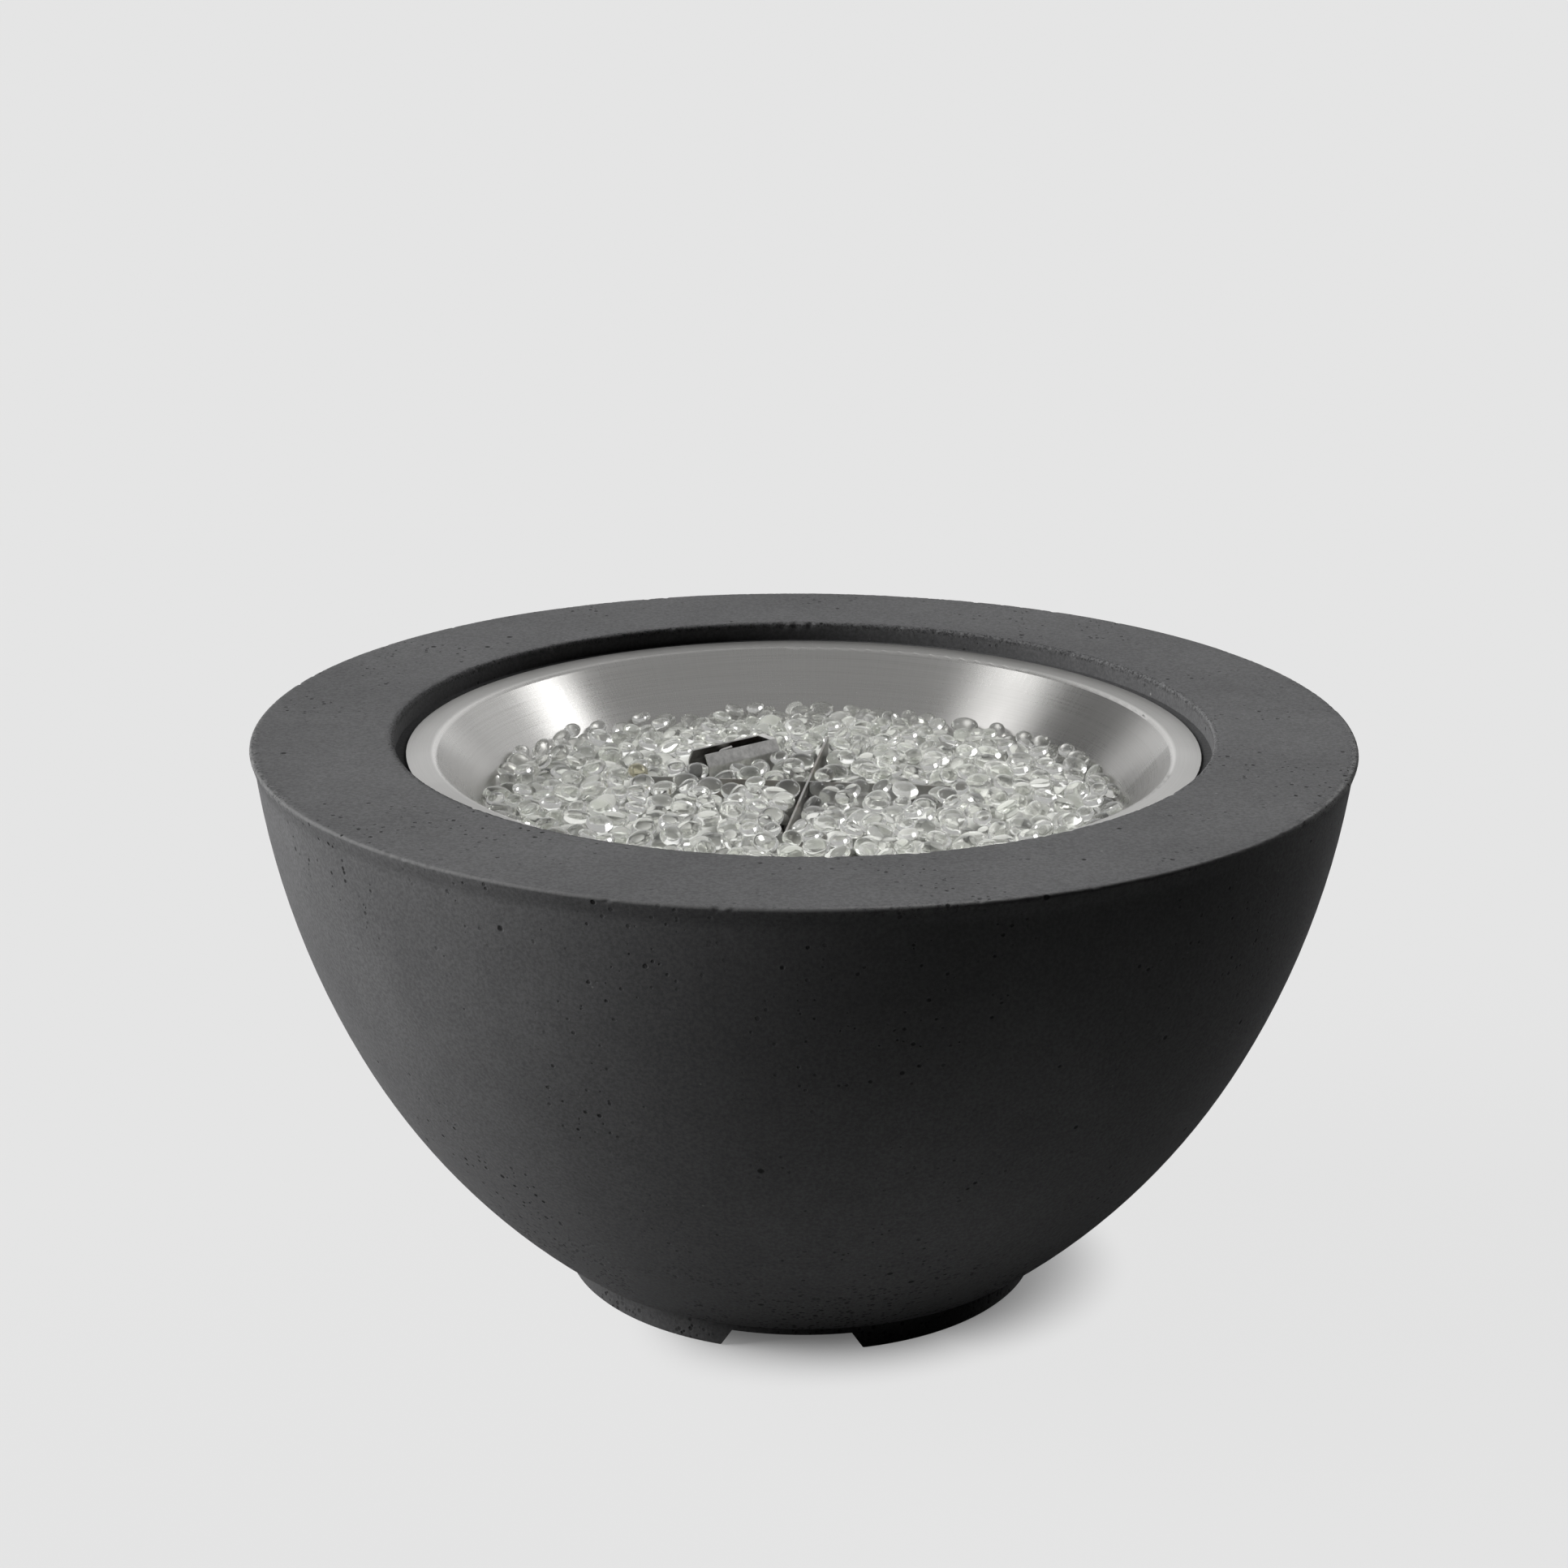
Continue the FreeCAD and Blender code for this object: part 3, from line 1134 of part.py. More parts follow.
def igniter_barrel():
    body = cylinder(BARREL_RADIUS, BARREL_LENGTH, igniter_axis(PANEL_FACE_Y), FRONT)
    collar = cylinder(COLLAR_RADIUS, COLLAR_HEIGHT, igniter_axis(PANEL_FACE_Y), BACK)
    bore_length = BARREL_LENGTH + COLLAR_HEIGHT - BARREL_END_WALL
    bore = cylinder(BARREL_BORE_RADIUS, bore_length, igniter_axis(PANEL_FACE_Y + COLLAR_HEIGHT), FRONT)
    return body.fuse(collar).removeSplitter().cut(bore)


def igniter_nut():
    bore = BARREL_RADIUS + THREAD_CLEARANCE
    return nut(IGNITER_NUT_FLATS, bore, IGNITER_NUT_HEIGHT, igniter_axis(PANEL_BACK_Y), FRONT)


def igniter_button():
    face = PANEL_FACE_Y + COLLAR_HEIGHT
    radius = BARREL_BORE_RADIUS - BUTTON_CLEARANCE
    cap = cylinder(radius, BUTTON_PROUD + BUTTON_DEPTH, igniter_axis(face - BUTTON_DEPTH), BACK)
    tip_edge = [e for e in cap.Edges if e.BoundBox.YMin > face + BUTTON_PROUD - BUTTON_EDGE_ROUND]
    return cap.makeFillet(BUTTON_EDGE_ROUND, tip_edge)


def igniter_battery():
    rear = BARREL_REAR_Y + BARREL_END_WALL
    cell = cylinder(BATTERY_RADIUS, BATTERY_LENGTH - BATTERY_TIP_LENGTH, igniter_axis(rear), BACK)
    tip_start = igniter_axis(rear + BATTERY_LENGTH - BATTERY_TIP_LENGTH)
    tip = cylinder(BATTERY_TIP_RADIUS, BATTERY_TIP_LENGTH, tip_start, BACK)
    return cell.fuse(tip).removeSplitter()


def igniter_terminal():
    return cylinder(TERMINAL_RADIUS, TERMINAL_LENGTH, igniter_axis(BARREL_REAR_Y), FRONT)


# ---------------------------------------------------------------- lines
def route_radii(points):
    """The largest arc at each corner that its two runs leave room for."""
    radii = []
    for before, corner, after in zip(points, points[1:], points[2:]):
        turn = (corner - before).getAngle(after - corner)
        shorter = min((corner - before).Length, (after - corner).Length)
        radii.append(CORD_ARC_SHARE * shorter / math.tan(turn / 2))
    return radii


def swept(path, radius, start, direction):
    ring = Part.Wire(Part.makeCircle(radius, start, direction))
    return path.makePipeShell([ring], True, False)


def routed_tube(name, points, radius):
    """A round line of straight runs and tangent arcs; prints its arcs and checks its volume."""
    radii = route_radii(points)
    path = Part.Wire(rounded_path(points, radii))
    shape = swept(path, radius, points[0], unit(points[1] - points[0]))
    share = shape.Volume / (math.pi * radius ** 2 * path.Length)
    print(name, "arc radii", [round(r, 1) for r in radii], "length", round(path.Length, 1),
          "volume share", round(share, 4))
    return shape


def burner_hose_points():
    start = Vector(0, MIXER_REACH + ORIFICE_HEX_LENGTH + FLARE_LENGTH, MIXER_Z)
    end = port_end("outlet")
    lead_in = start + BACK * HOSE_END_RUN
    lead_out = end + FRONT * HOSE_END_RUN
    low_point = (lead_in + lead_out) * 0.5 + DOWN * HOSE_SAG
    return [start, lead_in, low_point, lead_out, end]


def burner_hose():
    return routed_tube("burner_hose", burner_hose_points(), HOSE_RADIUS)


def hose_nuts():
    """Union nuts over the hose's ends, at the orifice and at the valve's outlet and inlet."""
    nut_bore = HOSE_RADIUS + THREAD_CLEARANCE
    flare_bore = LARGE_PORT_RADIUS + THREAD_CLEARANCE
    half = HOSE_NUT_LENGTH / 2
    nuts = []
    for name in ("outlet", "inlet"):
        body = hexagon(HOSE_NUT_FLATS, HOSE_NUT_LENGTH, port_end(name) + BACK * half, FRONT)
        over_port = cylinder(flare_bore, half, port_end(name) + BACK * half, FRONT)
        over_hose = cylinder(nut_bore, half, port_end(name), FRONT)
        nuts.append(body.cut([over_port, over_hose]))
    return Part.makeCompound(nuts)


def burner_hose_nut():
    start = burner_hose_points()[0]
    half = HOSE_NUT_LENGTH / 2
    body = hexagon(HOSE_NUT_FLATS, HOSE_NUT_LENGTH, start + FRONT * half, BACK)
    over_flare = cylinder(FLARE_RADIUS + THREAD_CLEARANCE, half, start + FRONT * half, BACK)
    over_hose = cylinder(HOSE_RADIUS + THREAD_CLEARANCE, half, start, BACK)
    return body.cut([over_flare, over_hose])


def small_line_points(offset, end, sag):
    """From a pilot fitting straight down, forward under the pan, and level into its port."""
    start = pilot_point(offset, -PILOT_DROP)
    down = start + DOWN * SMALL_LINE_DROP
    lead_out = end + FRONT * SMALL_LINE_END_RUN
    travel = lead_out - down
    turn = Vector(
        travel.x * SMALL_LINE_TURN_X,
        travel.y * SMALL_LINE_TURN_Y,
        -sag * SMALL_LINE_TURN_DROP,
    )
    lowest = travel * SMALL_LINE_LOW_SHARE + DOWN * sag
    return [start, down, down + turn, down + lowest, lead_out, end]


def pilot_line():
    points = small_line_points(0, port_end("pilot"), PILOT_LINE_SAG)
    return routed_tube("pilot_line", points, PILOT_LINE_RADIUS)


def thermocouple_lead():
    end = port_end("thermocouple")
    points = small_line_points(THERMOCOUPLE_OFFSET, end, THERMOCOUPLE_LEAD_SAG)
    return routed_tube("thermocouple_lead", points, THERMOCOUPLE_LEAD_RADIUS)


def ignition_wire():
    end = igniter_axis(BARREL_REAR_Y - TERMINAL_LENGTH)
    points = small_line_points(ELECTRODE_OFFSET, end, WIRE_SAG)
    return routed_tube("ignition_wire", points, WIRE_RADIUS)


# ---------------------------------------------------------------- gas inlet
def inlet_shelf_top():
    return BASE_FLOOR_HEIGHT + INLET_BRACKET_RISE


def inlet_bracket():
    """A stepped bracket: a foot on the inner floor, and a shelf over the open bottom."""
    points = [
        section_point(INLET_FOOT_END, BASE_FLOOR_HEIGHT),
        section_point(INLET_FOOT_START, BASE_FLOOR_HEIGHT),
        section_point(INLET_FOOT_START, inlet_shelf_top() - INLET_SHEET),
        section_point(INLET_Y - INLET_SHELF_TIP, inlet_shelf_top() - INLET_SHEET),
    ]
    radii = [INLET_BEND + INLET_SHEET, INLET_BEND]
    section = sheet_face(points, radii, -INLET_SHEET)
    body = section.extrude(BACK * INLET_BRACKET_WIDTH)
    body.translate(FRONT * (INLET_BRACKET_WIDTH / 2))
    body.rotate(Vector(0, 0, 0), UP, 90.0)
    body.translate(Vector(INLET_X, 0, 0))
    hole_start = Vector(INLET_X, INLET_Y, inlet_shelf_top() + INLET_SHEET)
    holes = [cylinder(INLET_BODY_RADIUS + THREAD_CLEARANCE, 4 * INLET_SHEET, hole_start, DOWN)]
    holes += [
        cylinder(INLET_SCREW_RADIUS + THREAD_CLEARANCE, 2 * INLET_SHEET, p, UP)
        for p in inlet_screw_points()
    ]
    return body.cut(holes)


def inlet_screws():
    seats = [p + UP * INLET_SHEET for p in inlet_screw_points()]
    screws = [
        screw(INLET_SCREW_RADIUS - THREAD_CLEARANCE, INLET_SCREW_LENGTH - THREAD_CLEARANCE,
              INLET_SCREW_HEAD_RADIUS, INLET_SCREW_HEAD_HEIGHT, seat, DOWN)
        for seat in seats
    ]
    return Part.makeCompound(screws)


def inlet_fitting():
    """A bulkhead union: threaded end down for the gas supply, tail up for the inner hose."""
    shelf = Vector(INLET_X, INLET_Y, inlet_shelf_top())
    flats = hexagon(INLET_FLATS, INLET_HEX_LENGTH, shelf, UP)
    body_length = INLET_SHEET + INLET_NUT_HEIGHT
    body = cylinder(INLET_BODY_RADIUS, body_length, shelf, DOWN)
    thread = cylinder(INLET_THREAD_RADIUS, body_length + INLET_THREAD_LENGTH, shelf, DOWN)
    tail = cylinder(HOSE_RADIUS, INLET_HEX_LENGTH + INLET_TAIL_LENGTH, shelf, UP)
    low = shelf + DOWN * (body_length + INLET_THREAD_LENGTH)
    length = body_length + INLET_THREAD_LENGTH + INLET_HEX_LENGTH + INLET_TAIL_LENGTH
    bore = cylinder(INLET_BORE_RADIUS, length, low, UP)
    return flats.fuse([body, thread, tail]).removeSplitter().cut(bore)


def inlet_nut():
    start = Vector(INLET_X, INLET_Y, inlet_shelf_top() - INLET_SHEET)
    return nut(INLET_FLATS, INLET_BODY_RADIUS + THREAD_CLEARANCE, INLET_NUT_HEIGHT, start, DOWN)


def supply_hose():
    """The hose from the inlet fitting up to the valve's inlet."""
    tail_end = inlet_shelf_top() + INLET_HEX_LENGTH + INLET_TAIL_LENGTH
    start = Vector(INLET_X, INLET_Y, tail_end)
    risen = start + UP * INLET_LINE_RISE
    end = port_end("inlet")
    lead_out = end + FRONT * INLET_LINE_RUN
    return routed_tube("supply_hose", [start, risen, lead_out, end], HOSE_RADIUS)


# ---------------------------------------------------------------- all nodes
NODES = [
    concrete_bowl,
    burner_pan,
    burner_cross,
    cross_plate_a,
    cross_plate_b,
    burner_gasket,
    burner_nut,
    air_mixer,
    gas_orifice,
    burner_hose_nut,
    pilot_hood,
    pilot_bracket,
    pilot_screws,
    pilot_burner,
    thermocouple,
    electrode_insulator,
    spark_electrode,
    control_panel,
    panel_screws,
    panel_inserts,
    gas_valve,
    valve_nut,
    valve_plunger,
    valve_stem,
    control_knob,
    knob_set_screw,
    igniter_barrel,
    igniter_nut,
    igniter_button,
    igniter_battery,
    igniter_terminal,
    burner_hose,
    hose_nuts,
    pilot_line,
    thermocouple_lead,
    ignition_wire,
    inlet_bracket,
    inlet_screws,
    inlet_fitting,
    inlet_nut,
    supply_hose,
    gem_bed,
]

os.makedirs("parts", exist_ok=True)
for make in NODES:
    shape = make()
    print(make.__name__, "solids", len(shape.Solids), "valid", shape.isValid(), "mm3", round(shape.Volume))
    shape.exportStep("parts/" + make.__name__ + ".step")
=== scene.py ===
import math

import bmesh
import bpy
import numpy as np
from mathutils import Matrix, Vector, noise


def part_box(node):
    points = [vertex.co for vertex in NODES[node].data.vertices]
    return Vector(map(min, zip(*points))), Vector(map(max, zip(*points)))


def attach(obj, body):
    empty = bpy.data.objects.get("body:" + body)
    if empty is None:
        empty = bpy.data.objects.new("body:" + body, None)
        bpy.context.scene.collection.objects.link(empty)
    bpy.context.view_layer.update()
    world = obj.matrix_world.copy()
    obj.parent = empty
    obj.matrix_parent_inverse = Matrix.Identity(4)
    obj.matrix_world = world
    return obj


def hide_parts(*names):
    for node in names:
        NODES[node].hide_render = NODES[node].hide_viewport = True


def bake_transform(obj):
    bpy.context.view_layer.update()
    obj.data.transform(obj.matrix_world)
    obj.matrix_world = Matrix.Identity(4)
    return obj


# Gas fire bowl: concrete bowl, stainless burner pan with glass gems, controls at the back.
# Metres, in the frame's own axes: +Z up, front -Y, origin under the middle of the foot.

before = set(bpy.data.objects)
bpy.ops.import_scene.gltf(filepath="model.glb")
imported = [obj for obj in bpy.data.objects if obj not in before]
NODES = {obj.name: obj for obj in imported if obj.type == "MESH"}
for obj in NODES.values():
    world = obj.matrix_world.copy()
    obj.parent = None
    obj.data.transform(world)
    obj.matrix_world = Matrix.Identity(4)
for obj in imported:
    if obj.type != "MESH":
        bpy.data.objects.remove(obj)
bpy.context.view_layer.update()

# ---- camera
CAMERA_PLACE = Vector((-0.0133, -2.0620, 0.9959))
CAMERA_PITCH = math.radians(17.416)     # down from level
CAMERA_ROLL = -0.00391
CAMERA_LENS = 71.654
SENSOR = 36.0


def make_camera():
    data = bpy.data.cameras.new("camera")
    data.lens = CAMERA_LENS
    data.sensor_width = SENSOR
    data.clip_end = 200.0
    camera = bpy.data.objects.new("camera", data)
    bpy.context.collection.objects.link(camera)
    forward = Vector((0, math.cos(CAMERA_PITCH), -math.sin(CAMERA_PITCH)))
    level_right = Vector((1, 0, 0))
    level_down = Vector((0, -math.sin(CAMERA_PITCH), -math.cos(CAMERA_PITCH)))
    right = level_right * math.cos(CAMERA_ROLL) + level_down * math.sin(CAMERA_ROLL)
    down = level_down * math.cos(CAMERA_ROLL) - level_right * math.sin(CAMERA_ROLL)
    turn = Matrix((right, -down, -forward)).transposed().to_4x4()
    camera.matrix_world = Matrix.Translation(CAMERA_PLACE) @ turn
    bpy.context.scene.camera = camera


# ---- node helpers
class Tree:
    """Short names for building one node tree."""

    def __init__(self, owner):
        owner.use_nodes = True
        self.tree = owner.node_tree
        self.tree.nodes.clear()

    def node(self, kind, settings=None, **inputs):
        made = self.tree.nodes.new(kind)
        for key, value in (settings or {}).items():
            setattr(made, key, value)
        for key, value in inputs.items():
            self.put(made, key.replace("_", " "), value)
        return made

    def put(self, node, key, value):
        socket = node.inputs[key] if isinstance(key, int) else self.find(node, key)
        if isinstance(value, bpy.types.NodeSocket):
            self.tree.links.new(value, socket)
        else:
            socket.default_value = value

    @staticmethod
    def find(node, key):
        for socket in node.inputs:
            if socket.name.lower() == key.lower():
                return socket
        raise KeyError(f"{node.bl_idname} has no input {key}")

    def math(self, operation, a, b=0.0, clamp=False):
        made = self.tree.nodes.new("ShaderNodeMath")
        made.operation = operation
        made.use_clamp = clamp
        self.put(made, 0, a)
        self.put(made, 1, b)
        return made.outputs[0]

    def fold(self, operation, first, *others):
        for other in others:
            first = self.math(operation, first, other)
        return first

    def times(self, *values):
        return self.fold("MULTIPLY", *values)

    def plus(self, *values):
        return self.fold("ADD", *values)

    def most(self, *values):
        return self.fold("MAXIMUM", *values)

    def length(self, a, b):
        return self.math("SQRT", self.plus(self.times(a, a), self.times(b, b)))

    def split(self, vector):
        return self.node("ShaderNodeSeparateXYZ", Vector=vector).outputs

    def either_shader(self, share, a, b):
        made = self.tree.nodes.new("ShaderNodeMixShader")
        for number, value in enumerate((share, a, b)):
            self.put(made, number, value)
        return made.outputs[0]

    def mix(self, share, a, b):
        """Colours a to b by the share."""
        return self.blend("MIX", share, a, b)

    def shade(self, colour, share, low, high):
        """The colour times a grey that goes from low to high with the share."""
        return self.blend("MULTIPLY", 1.0, colour, self.mix(share, grey(low), grey(high)))

    def blend(self, mode, share, a, b):
        made = self.tree.nodes.new("ShaderNodeMix")
        made.data_type = "RGBA"
        made.blend_type = mode
        self.put(made, 0, share)
        self.put(made, 6, a)
        self.put(made, 7, b)
        return made.outputs[2]

    def ramp(self, value, low, high, to_low=0.0, to_high=1.0):
        """A smooth step from to_low to to_high as the value goes from low to high."""
        made = self.tree.nodes.new("ShaderNodeMapRange")
        made.interpolation_type = "SMOOTHSTEP"
        self.put(made, 0, value)
        for number, setting in enumerate((low, high, to_low, to_high), 1):
            self.put(made, number, setting)
        return made.outputs[0]

    def scaled(self, vector, scale):
        return self.node("ShaderNodeMapping", Vector=vector, Scale=scale).outputs[0]

    def noise(self, vector, scale, detail, roughness=0.55):
        return self.node("ShaderNodeTexNoise", Vector=vector, Scale=scale, Detail=detail,
                         Roughness=roughness).outputs[0]

    def bump(self, height, distance, strength):
        return self.node("ShaderNodeBump", Height=height, Distance=distance, Strength=strength).outputs[0]

    def principled(self, **inputs):
        made = self.node("ShaderNodeBsdfPrincipled", **inputs)
        self.node("ShaderNodeOutputMaterial", Surface=made.outputs[0])


def turned(x, y, angle):
    """A place seen from axes turned by the angle: along them and across them."""
    return x * math.cos(angle) + y * math.sin(angle), -x * math.sin(angle) + y * math.cos(angle)


def grey(level):
    return (level, level, level, 1.0)


def new_material(name):
    """A material, its tree and the place on the object that its textures follow."""
    material = bpy.data.materials.new(name)
    tree = Tree(material)
    return material, tree, tree.node("ShaderNodeTexCoord").outputs["Object"]


# ---- floor, world and lamps
PALE = 0.783                 # floor and background
FLOOR_LIGHT = 0.96           # the lamps' light on the open floor
FLOOR_HALF = 60.0
FLOOR_DROP = 0.0002          # keeps the floor clear of the foot's underside
SHADOW_CENTRE = (0.06, -0.02)
POOL_SHADE_CENTRE = (0.07, -0.05)
ROOM_LIGHT = 0.006           # what the room itself adds to matt surfaces
BOX_TARGET = Vector((0, 0, 0.35))
BOX_DISTANCE = 2.2


def make_world():
    world = bpy.data.worlds.new("world")
    bpy.context.scene.world = world
    tree = Tree(world)
    path = tree.node("ShaderNodeLightPath").outputs
    axes = tree.split(tree.node("ShaderNodeTexCoord").outputs["Generated"])

    def lobe(towards, wide, close):
        """A soft patch of the room in one direction."""
        return tree.ramp(tree.plus(*map(tree.times, axes, towards)), wide, close)

    # metal and glass see a grey room: bright low behind the object, with a dark flag at the left behind it
    room = tree.mix(lobe((0.0, 0.955, 0.29), 0.74, 0.97), grey(0.43), grey(1.12))
    room = tree.mix(lobe((0.73, 0.55, 0.42), 0.950, 0.985), room, grey(0.85))
    room = tree.mix(lobe((-0.735, 0.505, 0.45), 0.930, 0.985), room, grey(0.19))
    colour = tree.mix(path["Is Camera Ray"], grey(ROOM_LIGHT), grey(PALE))
    mirrored = tree.most(path["Is Glossy Ray"], path["Is Transmission Ray"])
    colour = tree.mix(mirrored, colour, room)
    background = tree.node("ShaderNodeBackground", Color=colour)
    tree.node("ShaderNodeOutputWorld", Surface=background.outputs[0])


def make_floor():
    corners = [(a * FLOOR_HALF, b * FLOOR_HALF, 0) for a, b in ((-1, -1), (1, -1), (1, 1), (-1, 1))]
    mesh = bpy.data.meshes.new("floor")
    mesh.from_pydata(corners, [], [(0, 1, 2, 3)])
    floor = bpy.data.objects.new("floor", mesh)
    floor.location.z = -FLOOR_DROP
    bpy.context.collection.objects.link(floor)
    material, tree, place = new_material("floor")
    x, y, _ = tree.split(place)

    def reach(centre_x, centre_y):
        return tree.length(tree.math("SUBTRACT", x, centre_x), tree.math("SUBTRACT", y, centre_y))

    # what is seen: an evenly lit pale sweep on which the real light and shadow count most beside the foot
    from_middle = reach(0.0, 0.0)
    near = tree.times(tree.ramp(reach(*SHADOW_CENTRE), 0.10, 0.178, 0.80, 0.03),
                      tree.ramp(from_middle, 0.4, 2.5, 1.0, 0.0))
    under = tree.times(tree.ramp(from_middle, 0.138, 0.225, 0.86, 0.03), tree.ramp(x, -0.13, -0.06))
    sweep = tree.node("ShaderNodeEmission", Color=grey(PALE)).outputs[0]
    lit = tree.node("ShaderNodeBsdfDiffuse", Color=grey(PALE / FLOOR_LIGHT)).outputs[0]
    shown = tree.either_shader(tree.most(near, under), sweep, lit)
    # what lights the bowl from below: a grey ring round the foot, dark at the foot, at the left and far out
    pool = tree.times(tree.ramp(from_middle, 0.42, 0.92, 0.48, 0.015),
                      tree.ramp(reach(*POOL_SHADE_CENTRE), 0.17, 0.33, 0.0, 1.0),
                      tree.ramp(x, -0.35, 0.0, 0.06, 1.0))
    bounce = tree.node("ShaderNodeBsdfDiffuse", Color=pool).outputs[0]
    path = tree.node("ShaderNodeLightPath").outputs
    mirrored = tree.either_shader(path["Is Glossy Ray"], bounce, lit)
    seen = tree.most(path["Is Camera Ray"], path["Is Transmission Ray"])
    tree.node("ShaderNodeOutputMaterial", Surface=tree.either_shader(seen, mirrored, shown))
    mesh.materials.append(material)


def new_lamp(name, kind, towards):
    """A lamp, and its data, whose light comes from the direction `towards`."""
    data = bpy.data.lights.new(name, kind)
    lamp = bpy.data.objects.new(name, data)
    bpy.context.collection.objects.link(lamp)
    lamp.rotation_euler = Vector(towards).to_track_quat("Z", "Y").to_euler()
    return lamp, data


def sun(name, towards, level, angle):
    """A soft sun that metal and glass don't see; the level is in units of the plain level, pi."""
    lamp, data = new_lamp(name, "SUN", towards)
    data.energy = level * math.pi
    data.angle = math.radians(angle)
    lamp.visible_glossy = False
    lamp.visible_transmission = False


def softbox(name, towards, width, height, radiance):
    """A lamp that only metal and glass see."""
    direction = Vector(towards).normalized()
    lamp, data = new_lamp(name, "AREA", direction)
    data.shape = "RECTANGLE"
    data.size = width
    data.size_y = height
    data.energy = radiance * math.pi * width * height
    lamp.location = BOX_TARGET + direction * BOX_DISTANCE
    lamp.visible_diffuse = False
    lamp.visible_camera = False


def heading(azimuth, elevation):
    """Direction from azimuth, degrees from -Y towards -X, and elevation."""
    a = math.radians(azimuth)
    e = math.radians(elevation)
    return (-math.sin(a) * math.cos(e), -math.cos(a) * math.cos(e), math.sin(e))


def make_lamps():
    sun("sun_left", heading(95, 24), 1.85, 48)
    sun("sun_back_right", heading(-137, 20), 0.56, 35)
    softbox("box_left", (-0.718, 0.067, 0.691), 0.85, 0.85, 2.5)
    softbox("box_right", (0.764, 0.335, 0.5525), 0.52, 0.95, 4.2)


# ---- mesh helpers
def link_mesh(name, verts, faces, smooth=True, material=None):
    mesh = bpy.data.meshes.new(name)
    mesh.from_pydata([tuple(v) for v in verts], [], [tuple(f) for f in faces])
    mesh.validate()
    if smooth:
        mesh.shade_smooth()
    if material is not None:
        mesh.materials.append(material)
    obj = bpy.data.objects.new(name, mesh)
    bpy.context.collection.objects.link(obj)
    return obj


def as_piece(obj, body, replaced):
    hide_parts(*replaced)
    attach(obj, body)


def apply_modifiers(obj):
    """Bakes the object's modifiers into its mesh."""
    bpy.context.view_layer.update()
    graph = bpy.context.evaluated_depsgraph_get()
    mesh = bpy.data.meshes.new_from_object(obj.evaluated_get(graph), depsgraph=graph)
    obj.modifiers.clear()
    old = obj.data
    obj.data = mesh
    bpy.data.meshes.remove(old)


# ---- concrete bowl
RIM_RADIUS = 0.3774
RIM_FLARE = 0.0028           # the rim's edge stands out this far beyond the wall
RIM_FLARE_HEIGHT = 0.0125
BOWL_HEIGHT = 0.392
LEAN_AT_RIM = math.radians(5.3)
LEAN_AT_FOOT = math.radians(51.9)
CREASE_RADIUS = 0.1828
WALL = 0.020
RIM_THICKNESS = 0.042
RIM_EDGE_ROUND = 0.002
MOUTH_RADIUS = 0.280
MOUTH_EDGE_ROUND = 0.0025
PAN_SEAT_Z = 0.3785
LEDGE_RADIUS = 0.258
FOOT_RADIUS = 0.167
FOOT_HEIGHT = 0.025
FOOT_EDGE_ROUND = 0.004
FOOT_BORE_RADIUS = 0.137
BASE_FLOOR_Z = 0.045
NOTCH_ANGLES = (267.7, 27.7, 147.7)
NOTCH_WIDTH = 0.097
NOTCH_TOP_WIDTH = 0.081
NOTCH_HEIGHT = 0.0125
NOTCH_REACH = (-0.187, -0.0685)     # along Y, before the notch is turned to its place
CONCRETE_SHARP_ANGLE = math.radians(38)

# the wear along the edges
LIP_RADIUS = 0.2803          # middle of the mouth's rounded edge
LIP_Z = 0.3917
LIP_PIT_Z = 0.3915
CHIPS = 260
CHIP_RIM_RADIUS = RIM_RADIUS - 0.0006
CHIP_MOUTH_RADIUS = 0.2805
CHIP_Z = 0.3912
DEEPEST_WEAR = 0.0020

PANEL_Z = 0.265
PANEL_HALF_WIDTH = 0.080
PANEL_HALF_HEIGHT = 0.042
PANEL_CORNER_ROUND = 0.006
POCKET_GAP = 0.002
WINDOW_BORDER = 0.013
BOSS_BORDER = 0.016
BOSS_DEPTH = 0.022
PANEL_SCREW_INSET = 0.007
INSERT_RADIUS = 0.0032
INSERT_LENGTH = 0.012
POCKET_DEPTH = 0.008         # from the wall to the panel's face, at the pocket's lower corners
POCKET_CUT_END_Y = 0.45
PANEL_THICKNESS = 0.002
INLET_SCREW_RADIUS = 0.0025
INLET_SCREW_INSET = 0.0045
INLET_SCREW_DEPTH = 0.0135
OVERCUT = 0.002              # how far a cutter stands past the face it opens


def at(radius, height):
    """A point or a direction in the section plane."""
    return np.array((radius, height))


def outward(lean):
    return at(math.cos(lean), -math.sin(lean))


def biarc(top, bottom, top_lean, bottom_lean):
    """Two tangent arcs in the section plane: (centre, radius) of each, and the lean where they meet."""
    down_top = at(-math.sin(top_lean), -math.cos(top_lean))
    down_bottom = at(-math.sin(bottom_lean), -math.cos(bottom_lean))
    chord = bottom - top
    bend = 2.0 * (1.0 - down_top @ down_bottom)
    along = chord @ (down_top + down_bottom)
    handle = (math.sqrt(along * along + bend * (chord @ chord)) - along) / bend
    meeting = (top + down_top * handle + bottom - down_bottom * handle) * 0.5
    arcs = []
    for point, lean in ((top, top_lean), (bottom, bottom_lean)):
        reach = meeting - point
        radius = -(reach @ reach) / (2.0 * (reach @ outward(lean)))
        arcs.append((point - outward(lean) * radius, radius))
    from_centre = meeting - arcs[0][0]
    return arcs[0], arcs[1], math.atan2(-from_centre[1], from_centre[0])


UPPER_ARC, LOWER_ARC, MEETING_LEAN = biarc(
    at(RIM_RADIUS - RIM_FLARE, BOWL_HEIGHT), at(CREASE_RADIUS, FOOT_HEIGHT), LEAN_AT_RIM, LEAN_AT_FOOT)


def wall_point(arc, lean, inset=0.0):
    centre, radius = arc
    return centre + outward(lean) * (radius - inset)


